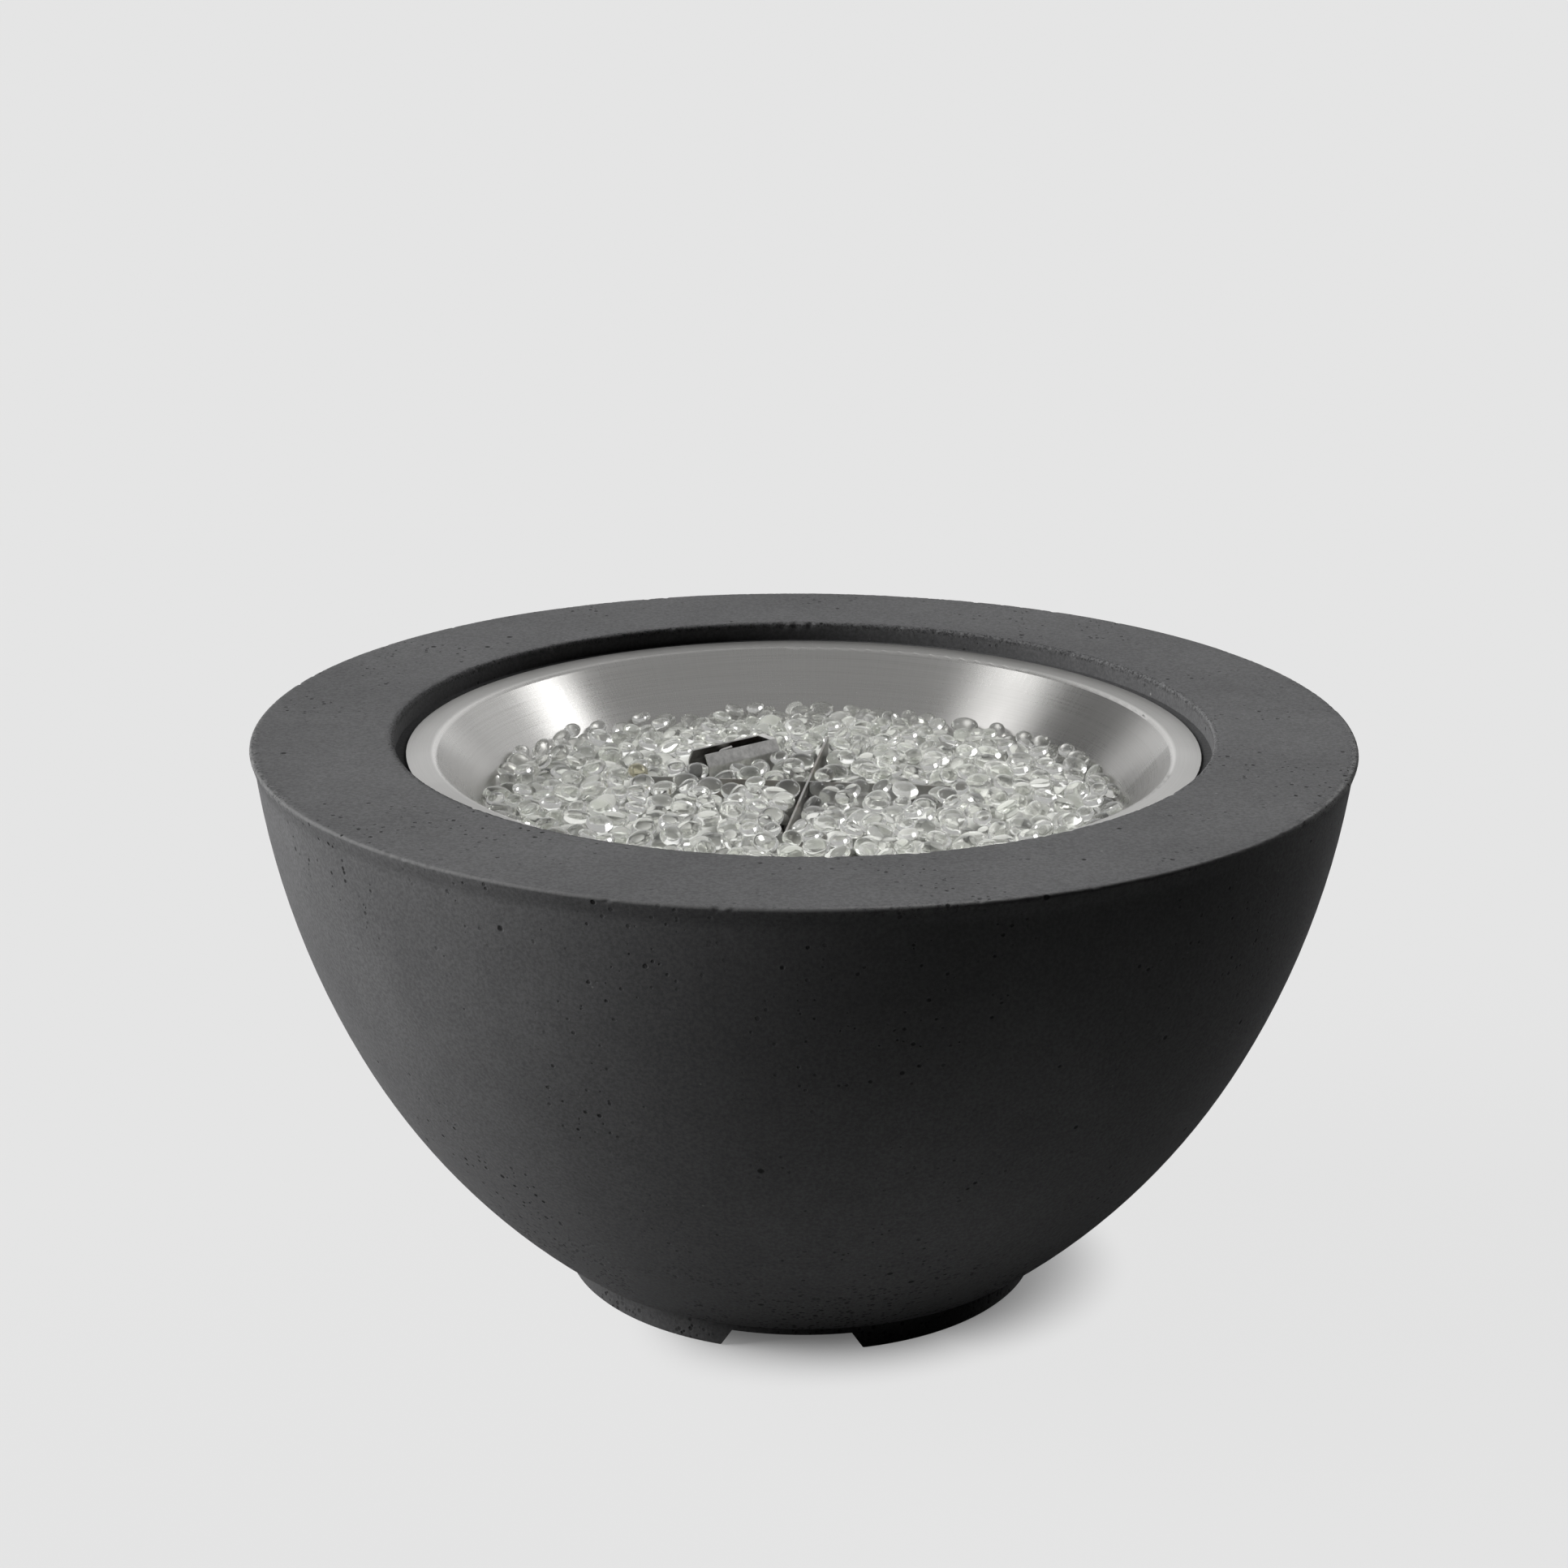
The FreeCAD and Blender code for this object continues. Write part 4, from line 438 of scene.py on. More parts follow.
def lean_at(arc, height, inset=0.0):
    centre, radius = arc
    return math.asin((centre[1] - height) / (radius - inset))


def outside_radius(height):
    arc = UPPER_ARC if height > wall_point(UPPER_ARC, MEETING_LEAN)[1] else LOWER_ARC
    return wall_point(arc, lean_at(arc, height))[0]


PANEL_FACE_Y = math.sqrt(outside_radius(PANEL_Z - PANEL_HALF_HEIGHT - POCKET_GAP) ** 2
                         - (PANEL_HALF_WIDTH + POCKET_GAP) ** 2) - POCKET_DEPTH
PANEL_BACK_Y = PANEL_FACE_Y - PANEL_THICKNESS


def wall_run(arc, lean_from, lean_to, count, inset=0.0):
    return [wall_point(arc, lean, inset) for lean in np.linspace(lean_from, lean_to, count)]


def round_corner(before, corner, after, radius, count):
    """Points of the arc that rounds a corner of the section."""
    a = (before - corner) / np.linalg.norm(before - corner)
    b = (after - corner) / np.linalg.norm(after - corner)
    half = 0.5 * math.acos(float(a @ b))
    setback = radius / math.tan(half)
    middle = (a + b) / np.linalg.norm(a + b)
    centre = corner + middle * (radius / math.sin(half))
    start = corner + a * setback - centre
    end = corner + b * setback - centre
    turn = math.atan2(start[0] * end[1] - start[1] * end[0], float(start @ end))
    return [centre + at(*turned(*start, -t)) for t in np.linspace(0.0, turn, count)]


def straight(start, end, shares):
    return [start + (end - start) * share for share in shares]


def bowl_section():
    """The bowl's closed section as runs of points, each with the number of points round its rings."""
    fine, medium, coarse = 1320, 660, 330
    top_start = at(MOUTH_RADIUS + MOUTH_EDGE_ROUND, BOWL_HEIGHT)
    flare_lean = lean_at(UPPER_ARC, BOWL_HEIGHT - RIM_FLARE_HEIGHT)
    flare_foot = wall_point(UPPER_ARC, flare_lean)
    edge = round_corner(top_start, at(RIM_RADIUS, BOWL_HEIGHT), flare_foot, RIM_EDGE_ROUND, 7)
    top_end = edge[0]
    seat_inner = at(LEDGE_RADIUS, PAN_SEAT_Z)
    seat_outer = at(MOUTH_RADIUS, PAN_SEAT_Z)
    mouth = round_corner(seat_outer, at(MOUTH_RADIUS, BOWL_HEIGHT), top_end, MOUTH_EDGE_ROUND, 5)
    flare = straight(edge[-1], flare_foot, (0.1, 0.22, 0.36, 0.54, 0.76, 1.0))
    near = [flare_lean + x / UPPER_ARC[1] for x in (0.003, 0.008)]
    upper = straight(seat_outer, mouth[0], (0.0, 0.2, 0.4, 0.6, 0.8)) + mouth
    upper += straight(top_start, top_end, (0.012, 0.03, 0.06, 0.12, 0.25, 0.45, 0.65, 0.8, 0.89, 0.94, 0.97, 0.987))
    upper += edge + flare + [wall_point(UPPER_ARC, lean) for lean in near]
    outside = wall_run(UPPER_ARC, near[-1] + 0.03, MEETING_LEAN, 12)
    outside += wall_run(LOWER_ARC, MEETING_LEAN, LEAN_AT_FOOT, 18)[1:]
    crease = at(CREASE_RADIUS, FOOT_HEIGHT)
    corner = at(FOOT_RADIUS, FOOT_HEIGHT)
    foot_low = at(FOOT_RADIUS, 0.0)
    outside += straight(crease, corner, (0.3, 0.6)) + round_corner(crease, corner, foot_low, FOOT_EDGE_ROUND, 5)
    outside += straight(corner, foot_low, (0.35, 0.55, 0.75, 0.9)) + [
        at(FOOT_RADIUS, 0.0012), at(FOOT_RADIUS - 0.0012, 0.0)]
    inner_low = lean_at(LOWER_ARC, BASE_FLOOR_Z, WALL)
    inner_top = lean_at(UPPER_ARC, BOWL_HEIGHT - RIM_THICKNESS, WALL)
    bore_low = at(FOOT_BORE_RADIUS, 0.0)
    bore_top = at(FOOT_BORE_RADIUS, BASE_FLOOR_Z)
    inside = straight(at(FOOT_RADIUS, 0.0), bore_low, (0.35, 0.7, 1.0))
    inside += straight(bore_low, bore_top, (0.35, 0.7, 1.0))
    inside += straight(bore_top, wall_point(LOWER_ARC, inner_low, WALL), (0.5,))
    inside += wall_run(LOWER_ARC, inner_low, MEETING_LEAN, 9, WALL)
    inside += wall_run(UPPER_ARC, MEETING_LEAN, inner_top, 8, WALL)[1:]
    rim_under = BOWL_HEIGHT - RIM_THICKNESS
    inside += straight(wall_point(UPPER_ARC, inner_top, WALL), at(LEDGE_RADIUS, rim_under), (0.3, 0.65))
    ledge = [at(LEDGE_RADIUS, rim_under), seat_inner]
    return [(upper, fine), (outside, medium), (inside, coarse), (ledge, medium)]


def stitch(first, second):
    """Faces between two rings whose numbers of points are equal or twice one another."""
    a, b = len(first), len(second)
    if a < b:
        return [face[::-1] for face in stitch(second, first)]
    faces = []
    for k in range(b):
        n = (k + 1) % b
        if a == b:
            faces.append((first[k], first[n], second[n], second[k]))
        else:
            left, middle, right = first[2 * k], first[2 * k + 1], first[(2 * k + 2) % a]
            faces += [(left, middle, second[k]), (middle, second[n], second[k]), (middle, right, second[n])]
    return faces


def smoothstep(value, low, high):
    t = np.clip((value - low) / (high - low), 0.0, 1.0)
    return t * t * (3.0 - 2.0 * t)


def noise_at(points, scale, seed):
    """Smooth noise from -1 to 1 at each point."""
    return np.array([noise.noise(Vector((x * scale + seed, y * scale, z * scale))) for x, y, z in points])


def wear_bowl(points, normals):
    """Pits and chips along the rim's outer edge and the mouth's edge, as moves along the normals."""
    radius = np.hypot(points[:, 0], points[:, 1])
    angle = np.arctan2(points[:, 1], points[:, 0])
    to_rim = np.hypot(radius - RIM_RADIUS, points[:, 2] - BOWL_HEIGHT)
    to_mouth = np.hypot(radius - LIP_RADIUS, points[:, 2] - LIP_Z)
    rim = smoothstep(to_rim, 0.0075, 0.002)
    mouth = smoothstep(to_mouth, 0.0055, 0.0015)
    near = np.nonzero((rim > 0) | (mouth > 0))[0]
    spots = points[near]
    ring = np.stack([np.cos(angle[near]), np.sin(angle[near]), np.zeros(len(near))], 1)
    worn = np.clip(0.45 + 0.9 * noise_at(ring, 2.2, 4.0) + 0.5 * noise_at(ring, 7.0, 9.0), 0.08, 1.0)
    pits = np.abs(noise_at(spots, 420.0, 1.0)) + 0.6 * np.abs(noise_at(spots, 900.0, 2.0))
    lumps = noise_at(spots, 60.0, 5.0)
    move = np.zeros(len(points))
    move[near] = -rim[near] * worn * (0.00008 + 0.00050 * pits + 0.00010 * lumps)
    move[near] -= mouth[near] * (0.0001 + 0.00045 * pits * (0.4 + 0.6 * worn))
    rng = np.random.default_rng(11)
    for number in range(CHIPS):
        at_rim = number % 2 > 0
        a = rng.uniform(-math.pi, math.pi)
        size = rng.uniform(0.0014, 0.0026) * (1.0 + rng.random() ** 4)
        r = CHIP_RIM_RADIUS + rng.normal(0, 0.0010) if at_rim else CHIP_MOUTH_RADIUS
        z = CHIP_Z + rng.normal(0, 0.0010) if at_rim else CHIP_Z
        centre = np.array((r * math.cos(a), r * math.sin(a), z))
        depth = size * rng.uniform(0.10, 0.28)
        gap = np.linalg.norm(spots - centre, axis=1)
        move[near] -= depth * smoothstep(gap, size, size * 0.35)
    return points + normals * np.maximum(move, -DEEPEST_WEAR)[:, None]


def bowl_blank():
    """The revolved shell with its worn edges, before the pocket and the notches are cut."""
    path = [(point, count) for run, count in bowl_section() for point in run]
    rings, verts, normals = [], [], []
    total = 0
    for index, (point, count) in enumerate(path):
        before = path[index - 1][0]
        after = path[(index + 1) % len(path)][0]
        along = (after - before) / np.linalg.norm(after - before)
        turn = np.arange(count) * (2 * math.pi / count)
        for found, (outwards, up) in ((verts, point), (normals, (-along[1], along[0]))):
            found.append(np.stack([outwards * np.cos(turn), outwards * np.sin(turn), np.full(count, up)], 1))
        rings.append(list(range(total, total + count)))
        total += count
    faces = []
    for first, second in zip(rings, rings[1:] + rings[:1]):
        faces += stitch(second, first)
    points = wear_bowl(np.concatenate(verts), np.concatenate(normals))
    return link_mesh("concrete_shell", points, faces)


def prism(name, outline, low, high, axis="Y"):
    """A closed prism over an outline: of (x, z) points along Y, or of (x, y) points along Z."""
    count = len(outline)
    verts = []
    for level in (low, high):
        verts += [(a, level, b) if axis == "Y" else (a, b, level) for a, b in outline]
    faces = [tuple(range(count)), tuple(range(2 * count - 1, count - 1, -1))]
    faces += [(k, k + count, (k + 1) % count + count, (k + 1) % count) for k in range(count)]
    obj = link_mesh(name, verts, faces, smooth=False)
    fix_normals(obj)
    return obj


def fix_normals(obj):
    work = bmesh.new()
    work.from_mesh(obj.data)
    bmesh.ops.recalc_face_normals(work, faces=work.faces)
    work.to_mesh(obj.data)
    work.free()


def rounded_outline(half_width, half_height, centre_z, radius):
    points = []
    for quarter, (sx, sz) in enumerate(((1, 1), (-1, 1), (-1, -1), (1, -1))):
        cx = sx * (half_width - radius)
        cz = centre_z + sz * (half_height - radius)
        for t in np.linspace(0, math.pi / 2, 8):
            turn = quarter * math.pi / 2 + t
            points.append((cx + radius * math.cos(turn), cz + radius * math.sin(turn)))
    return points


def circle(x, y, radius):
    return [(x + radius * math.cos(t), y + radius * math.sin(t)) for t in np.linspace(0, 2 * math.pi, 24, False)]


def boss():
    """The block of concrete behind the panel; its front lies inside the wall."""
    half_x = PANEL_HALF_WIDTH + BOSS_BORDER
    half_z = PANEL_HALF_HEIGHT + BOSS_BORDER
    xs = np.linspace(-half_x, half_x, 25)
    zs = np.linspace(PANEL_Z - half_z, PANEL_Z + half_z, 17)
    verts = [(x, math.sqrt((outside_radius(z) - WALL / 2) ** 2 - x * x), z) for z in zs for x in xs]
    columns, rows = len(xs), len(zs)
    faces = [(k, k + 1, k + columns + 1, k + columns)
             for j in range(rows - 1) for k in range(j * columns, (j + 1) * columns - 1)]
    rim = list(range(columns)) + [j * columns + columns - 1 for j in range(1, rows)]
    rim += [(rows - 1) * columns + i for i in range(columns - 2, -1, -1)]
    rim += [j * columns for j in range(rows - 2, 0, -1)]
    start = len(verts)
    back = PANEL_BACK_Y - BOSS_DEPTH
    verts += [(verts[k][0], back, verts[k][2]) for k in rim]
    count = len(rim)
    for k in range(count):
        n = (k + 1) % count
        faces.append((rim[k], start + k, start + n, rim[n]))
    faces.append(tuple(range(start, start + count)))
    obj = link_mesh("boss", verts, faces, smooth=False)
    fix_normals(obj)
    return obj


def bowl_cutters():
    window = [(-1, -1), (1, -1), (1, 1), (-1, 1)]
    half_x = PANEL_HALF_WIDTH - WINDOW_BORDER
    half_z = PANEL_HALF_HEIGHT - WINDOW_BORDER
    cutters = [
        prism("pocket", rounded_outline(PANEL_HALF_WIDTH + POCKET_GAP, PANEL_HALF_HEIGHT + POCKET_GAP, PANEL_Z,
                                        PANEL_CORNER_ROUND + POCKET_GAP), PANEL_BACK_Y, POCKET_CUT_END_Y),
        prism("window", [(a * half_x, PANEL_Z + b * half_z) for a, b in window],
              PANEL_BACK_Y - 2 * BOSS_DEPTH, PANEL_BACK_Y + 2 * OVERCUT),
    ]
    for x in (-1, 1):
        for z in (-1, 1):
            hole = circle(x * (PANEL_HALF_WIDTH - PANEL_SCREW_INSET),
                          PANEL_Z + z * (PANEL_HALF_HEIGHT - PANEL_SCREW_INSET), INSERT_RADIUS)
            cutters.append(prism("insert_hole", hole, PANEL_BACK_Y - INSERT_LENGTH, PANEL_BACK_Y + OVERCUT))
    low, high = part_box("inlet_screws")
    for x in (low.x + INLET_SCREW_INSET, high.x - INLET_SCREW_INSET):
        cutters.append(prism("screw_hole", circle(x, 0.5 * (low.y + high.y), INLET_SCREW_RADIUS),
                             BASE_FLOOR_Z - INLET_SCREW_DEPTH, BASE_FLOOR_Z + OVERCUT, "Z"))
    notch = [(-NOTCH_WIDTH / 2, -OVERCUT), (NOTCH_WIDTH / 2, -OVERCUT), (NOTCH_WIDTH / 2, 0.0),
             (NOTCH_TOP_WIDTH / 2, NOTCH_HEIGHT), (-NOTCH_TOP_WIDTH / 2, NOTCH_HEIGHT), (-NOTCH_WIDTH / 2, 0.0)]
    for angle in NOTCH_ANGLES:
        wedge = prism("notch", notch, *NOTCH_REACH)
        wedge.data.transform(Matrix.Rotation(math.radians(angle - 270.0), 4, "Z"))
        cutters.append(wedge)
    return cutters


def boolean(obj, operation, others):
    group = bpy.data.collections.new("cutters")
    for other in others:
        group.objects.link(other)
    modifier = obj.modifiers.new("cut", "BOOLEAN")
    modifier.operation = operation
    modifier.operand_type = "COLLECTION"
    modifier.collection = group
    modifier.solver = "EXACT"
    apply_modifiers(obj)
    for other in others:
        bpy.data.objects.remove(other)
    bpy.data.collections.remove(group)


def make_bowl():
    shell = bowl_blank()
    boolean(shell, "UNION", [boss()])
    boolean(shell, "DIFFERENCE", bowl_cutters())
    mesh = shell.data
    mesh.shade_smooth()
    mesh.set_sharp_from_angle(angle=CONCRETE_SHARP_ANGLE)
    mesh.materials.clear()
    mesh.materials.append(concrete_material())
    as_piece(shell, "bowl", ["concrete_bowl"])


def concrete_material():
    material, t, place = new_material("concrete")
    x, y, z = t.split(place)
    radius = t.length(x, y)

    def nearness(r, height, far, close):
        """1 on the ring of this radius and height, 0 far from it."""
        gap = t.length(t.math("SUBTRACT", radius, r), t.math("SUBTRACT", z, height))
        return t.ramp(gap, close, far, 1.0, 0.0)

    patches = t.ramp(t.noise(place, 2.6, 2.0), 0.42, 0.62, 0.15, 1.0)
    fine = t.noise(place, 420.0, 3.0, 0.6)
    grain = t.noise(place, 1500.0, 2.0, 0.6)
    # the worn rim: a paler edge line, partly wear and partly a painted highlight, and pits along both edges
    edge_noise = t.ramp(t.noise(place, 170.0, 5.0, 0.7), 0.40, 0.58)
    edge = t.times(nearness(RIM_RADIUS, BOWL_HEIGHT, 0.0062, 0.0032), t.times(edge_noise, patches))
    # painted highlight: an even pale line all round the rim's very edge, where its rounding catches the light
    edge = t.most(edge, t.times(nearness(RIM_RADIUS, BOWL_HEIGHT, 0.0030, 0.0014), 0.6))
    edge_pits = t.times(t.ramp(t.noise(place, 520.0, 3.0, 0.75), 0.55, 0.63),
                        nearness(RIM_RADIUS, BOWL_HEIGHT, 0.0100, 0.0040), patches)
    mouth_pits = t.times(t.ramp(t.noise(place, 600.0, 3.0, 0.75), 0.50, 0.62),
                         nearness(LIP_RADIUS, LIP_PIT_Z, 0.0052, 0.0022))

    def pinholes(scale, size, share, seed):
        """Round holes of up to 1.25 times the size as their radius, in that share of the cells."""
        shifted = t.node("ShaderNodeVectorMath", {"operation": "ADD"})
        t.put(shifted, 0, place)
        t.put(shifted, 1, (seed, seed * 0.7, seed * 1.3))
        cells = t.node("ShaderNodeTexVoronoi", Vector=shifted.outputs[0], Scale=scale)
        tone = t.node("ShaderNodeSeparateColor", Color=cells.outputs["Color"])
        chosen = t.math("LESS_THAN", tone.outputs[0], share)
        reach = t.times(t.plus(tone.outputs[1], 0.25), size * scale)
        depth = t.math("SUBTRACT", 1.0, t.math("DIVIDE", cells.outputs["Distance"], reach), clamp=True)
        return t.times(t.ramp(depth, 0.0, 0.5), chosen)

    clusters = t.ramp(t.noise(place, 9.0, 2.0), 0.45, 0.66)
    holes = t.times(pinholes(210.0, 0.0016, 0.35, 0.0), clusters)
    holes = t.most(holes, pinholes(72.0, 0.0023, 0.12, 3.0))
    low_down = t.times(t.ramp(z, 0.030, 0.150, 1.0, 0.0), t.ramp(t.noise(place, 16.0, 2.0), 0.34, 0.54))
    holes = t.most(holes, t.times(pinholes(250.0, 0.0019, 0.80, 5.0), low_down))
    specks = t.times(pinholes(95.0, 0.0010, 0.10, 7.0), 0.6)
    mottle = t.noise(place, 7.0, 5.0, 0.6)
    cloudy = t.noise(place, 34.0, 4.0, 0.6)
    base = t.mix(t.ramp(mottle, 0.3, 0.7), (0.112, 0.112, 0.114, 1), (0.131, 0.131, 0.133, 1))
    base = t.shade(base, t.ramp(cloudy, 0.3, 0.7), 0.955, 1.03)
    base = t.shade(base, t.ramp(fine, 0.3, 0.7), 0.85, 1.15)
    base = t.shade(base, t.ramp(grain, 0.3, 0.7), 0.93, 1.07)
    # painted shade: darker low on the wall, on the foot's ring, and on the mouth's inner wall above the pan's seat
    base = t.shade(base, t.ramp(z, 0.010, 0.050), 0.84, 1.0)
    # painted shade on the foot's ring
    base = t.shade(base, t.ramp(z, 0.0225, 0.0250), 0.72, 1.0)
    # painted shade on the mouth's inner wall, above the pan's seat
    recess_shade = t.times(t.ramp(radius, 0.2820, 0.2800), t.ramp(z, 0.3915, 0.3895), t.ramp(z, 0.3720, 0.3760))
    base = t.shade(base, recess_shade, 1.0, 0.66)
    # the pale edge line: wear, with the painted highlight along the very edge
    base = t.mix(t.times(edge, 0.75), base, (0.205, 0.205, 0.203, 1))
    base = t.mix(specks, base, grey(0.26))
    dark = t.most(holes, t.times(edge_pits, 0.75), t.times(mouth_pits, 0.7))
    base = t.mix(t.times(dark, 0.88), base, grey(0.018))
    height = t.math("SUBTRACT", t.times(t.plus(fine, grain), 0.12), dark)
    normal = t.bump(height, 0.0006, 0.8)
    rough = t.ramp(cloudy, 0.2, 0.8, 0.82, 0.93)
    t.principled(Base_Color=base, Roughness=rough, Specular_IOR_Level=0.08, Normal=normal)
    return material


# ---- other materials
PAN_FLANGE_BEND = (0.2535, 0.2560)      # radii between which the pan's wall turns into its flange
HOOD_EDGE = 0.00035                     # the softened edges of the hood's sheet

# colour, low and high tone, roughness and scale of the lines
BRUSHED = {
    "stainless": ((0.52, 0.515, 0.50), 0.92, 1.08, 0.34, (60, 1400, 1400)),
    "battery_can": ((0.55, 0.56, 0.58), 0.9, 1.1, 0.3, (900, 60, 900)),
}
# colour, tarnish, roughness and its spread, and for the casting the bump
METALS = {
    "brass": ((0.62, 0.45, 0.20), (0.46, 0.32, 0.14), 0.28, 0.18),
    "valve_casting": ((0.50, 0.50, 0.51), (0.38, 0.38, 0.39), 0.45, 0.15, 0.0002),
    "copper": ((0.72, 0.40, 0.27), (0.44, 0.24, 0.16), 0.25, 0.2),
    "hose_steel": ((0.55, 0.55, 0.54), (0.40, 0.40, 0.39), 0.3, 0.15),
}
# colour and roughness, and for the ceramic the scale and bump
PLASTICS = {
    "black_plastic": ((0.022, 0.022, 0.023), 0.42),
    "button_plastic": ((0.30, 0.022, 0.018), 0.35),
    "ceramic": ((0.78, 0.76, 0.71), 0.22, 500.0, 0.00003),
    "rubber": ((0.020, 0.020, 0.020), 0.75),
    "wire_sleeve": ((0.040, 0.036, 0.034), 0.55),
}
# colour, roughness and transmission
GEMS = {
    "clear": ((0.945, 0.950, 0.928), 0.02, 0.95),
    "tinted": ((0.910, 0.925, 0.880), 0.03, 0.90),
    "milky": ((0.930, 0.935, 0.905), 0.08, 0.84),
    "olive": ((0.50, 0.475, 0.355), 0.05, 0.85),
    # deep: a darker, frosted copy of the clear glass for the gems low in the pile; its darker colour is painted
    # shade between the gems
    "deep": ((0.740, 0.745, 0.712), 0.40, 0.35),
}


def two_tones(base, low, high):
    """A colour times each of two levels."""
    return [c * low for c in base] + [1], [c * high for c in base] + [1]


def two_layers(t, broad, fine, tones, tone_span, rough, wobble, bump, metal):
    """A finish from two noises: both vary its roughness, the broad one its tone and the fine one its height."""
    tone = t.mix(t.ramp(broad, *tone_span), *tones)
    shine = t.plus(t.ramp(broad, 0.3, 0.7, *rough), t.ramp(fine, 0.3, 0.7, -wobble, wobble))
    t.principled(Base_Color=tone, Metallic=metal, Roughness=shine, Normal=t.bump(fine, bump, 0.4))


def brushed(name, base, low, high, rough, scale):
    """Brushed metal: fine lines along the scale's smallest axis, in colour, roughness and height."""
    material, t, place = new_material(name)
    lines = t.noise(t.scaled(place, scale), 1.0, 6.0, 0.7)
    broad = t.noise(place, 11.0, 3.0, 0.5)
    smudge = t.noise(place, 45.0, 4.0, 0.65)
    tone = t.shade(t.mix(t.ramp(lines, 0.3, 0.7), *two_tones(base, low, high)),
                   t.ramp(broad, 0.35, 0.65), 0.97, 1.0)
    shine = t.plus(t.ramp(smudge, 0.3, 0.7, -0.025, 0.035), rough)
    shine = t.plus(shine, t.ramp(lines, 0.3, 0.7, -0.03, 0.03))
    t.principled(Base_Color=tone, Metallic=1.0, Roughness=shine, Normal=t.bump(lines, 0.00002, 0.35))
    return material


def pan_material():
    """Spun stainless: rings about the pan's axis with faint scuffs across them."""
    material, t, place = new_material("pan_steel")
    x, y, z = t.split(place)
    radius = t.length(x, y)
    angle = t.math("ARCTAN2", y, x)

    def stretched(turning, outwards, upwards):
        """The place in turn, radius and height, each by its own scale."""
        return t.node("ShaderNodeCombineXYZ", X=t.times(angle, turning), Y=t.times(radius, outwards),
                      Z=t.times(z, upwards)).outputs[0]

    rings = t.noise(stretched(2.0, 1300.0, 1300.0), 1.0, 4.0, 0.65)
    scuffs = t.noise(stretched(260.0, 30.0, 20.0), 1.0, 4.0, 0.6)
    cloud = t.noise(place, 14.0, 4.0, 0.6)
    tone = t.mix(t.ramp(rings, 0.3, 0.7), (0.455, 0.449, 0.436, 1), (0.510, 0.504, 0.492, 1))
    tone = t.shade(tone, t.ramp(scuffs, 0.35, 0.65), 0.965, 1.0)
    flange = t.ramp(radius, *PAN_FLANGE_BEND)
    tone = t.shade(tone, flange, 1.0, 0.82)
    shine = t.plus(t.ramp(rings, 0.3, 0.7, -0.02, 0.02), t.ramp(cloud, 0.3, 0.7, 0.255, 0.30))
    shine = t.plus(shine, t.times(flange, 0.14))
    shine = t.plus(shine, t.ramp(scuffs, 0.35, 0.65, 0.0, 0.03))
    height = t.plus(rings, t.times(scuffs, 0.4))
    tangent = t.node("ShaderNodeTangent", {"direction_type": "RADIAL", "axis": "Z"})
    t.principled(Base_Color=tone, Metallic=1.0, Roughness=shine, Anisotropic=0.75, Anisotropic_Rotation=0.25,
                 Tangent=tangent.outputs[0], Normal=t.bump(height, 0.00002, 0.3))
    return material


def plain_metal(name, base, dark, rough, spread, bump=0.00008):
    """Cast or turned metal with patches of tarnish."""
    material, t, place = new_material(name)
    patches = t.noise(place, 60.0, 5.0, 0.65)
    fine = t.noise(place, 1080.0, 3.0, 0.6)
    two_layers(t, patches, fine, (base + (1,), dark + (1,)), (0.35, 0.65), (rough, rough + spread), 0.03,
               bump, 1.0)
    return material


def plain_plastic(name, base, rough, scale=900.0, bump=0.00006):
    """Moulded plastic, rubber or glazed ceramic with a fine surface."""
    material, t, place = new_material(name)
    fine = t.noise(place, scale, 2.0, 0.6)
    broad = t.noise(place, 40.0, 3.0, 0.6)
    two_layers(t, broad, fine, two_tones(base, 0.9, 1.1), (0.3, 0.7), (rough - 0.04, rough + 0.05), 0.02,
               bump, 0.0)
    return material


def burner_material():
    """Stainless tube and sheet, dulled and faintly straw-coloured by heat."""
    material, t, place = new_material("burner_steel")
    patches = t.noise(place, 22.0, 4.0, 0.6)
    lines = t.noise(t.scaled(place, (900, 900, 90)), 1.0, 4.0, 0.7)
    two_layers(t, patches, lines, ((0.34, 0.335, 0.325, 1), (0.29, 0.265, 0.235, 1)), (0.40, 0.70),
               (0.40, 0.52), 0.04, 0.00003, 1.0)
    return material


def hood_material():
    """Satin sheet, mottled by handling and heat."""
    material, t, place = new_material("hood_steel")
    mottle = t.noise(place, 260.0, 4.0, 0.65)
    broad = t.noise(place, 70.0, 3.0, 0.6)
    lines = t.noise(t.scaled(place, (700, 700, 90)), 1.0, 4.0, 0.7)
    tone = t.mix(t.ramp(mottle, 0.35, 0.65), (0.430, 0.425, 0.414, 1), (0.560, 0.554, 0.540, 1))
    tone = t.shade(tone, t.ramp(broad, 0.35, 0.65), 0.90, 1.04)
    shine = t.plus(t.ramp(mottle, 0.3, 0.7, 0.31, 0.39), t.ramp(lines, 0.3, 0.7, -0.03, 0.03))
    height = t.plus(t.times(mottle, 0.5), lines)
    t.principled(Base_Color=tone, Metallic=1.0, Roughness=shine, Normal=t.bump(height, 0.00004, 0.5))
    return material


def glass(name, colour, rough, transmission=1.0):
    """Tumbled glass: one shader with constant values and a faint ripple on its surface."""
    material, t, place = new_material(name)
    ripple = t.noise(place, 180.0, 2.0, 0.5)
    t.principled(Base_Color=tuple(colour) + (1,), Roughness=rough, IOR=1.50, Transmission_Weight=transmission,
                 Normal=t.bump(ripple, 0.00004, 0.3))
    return material


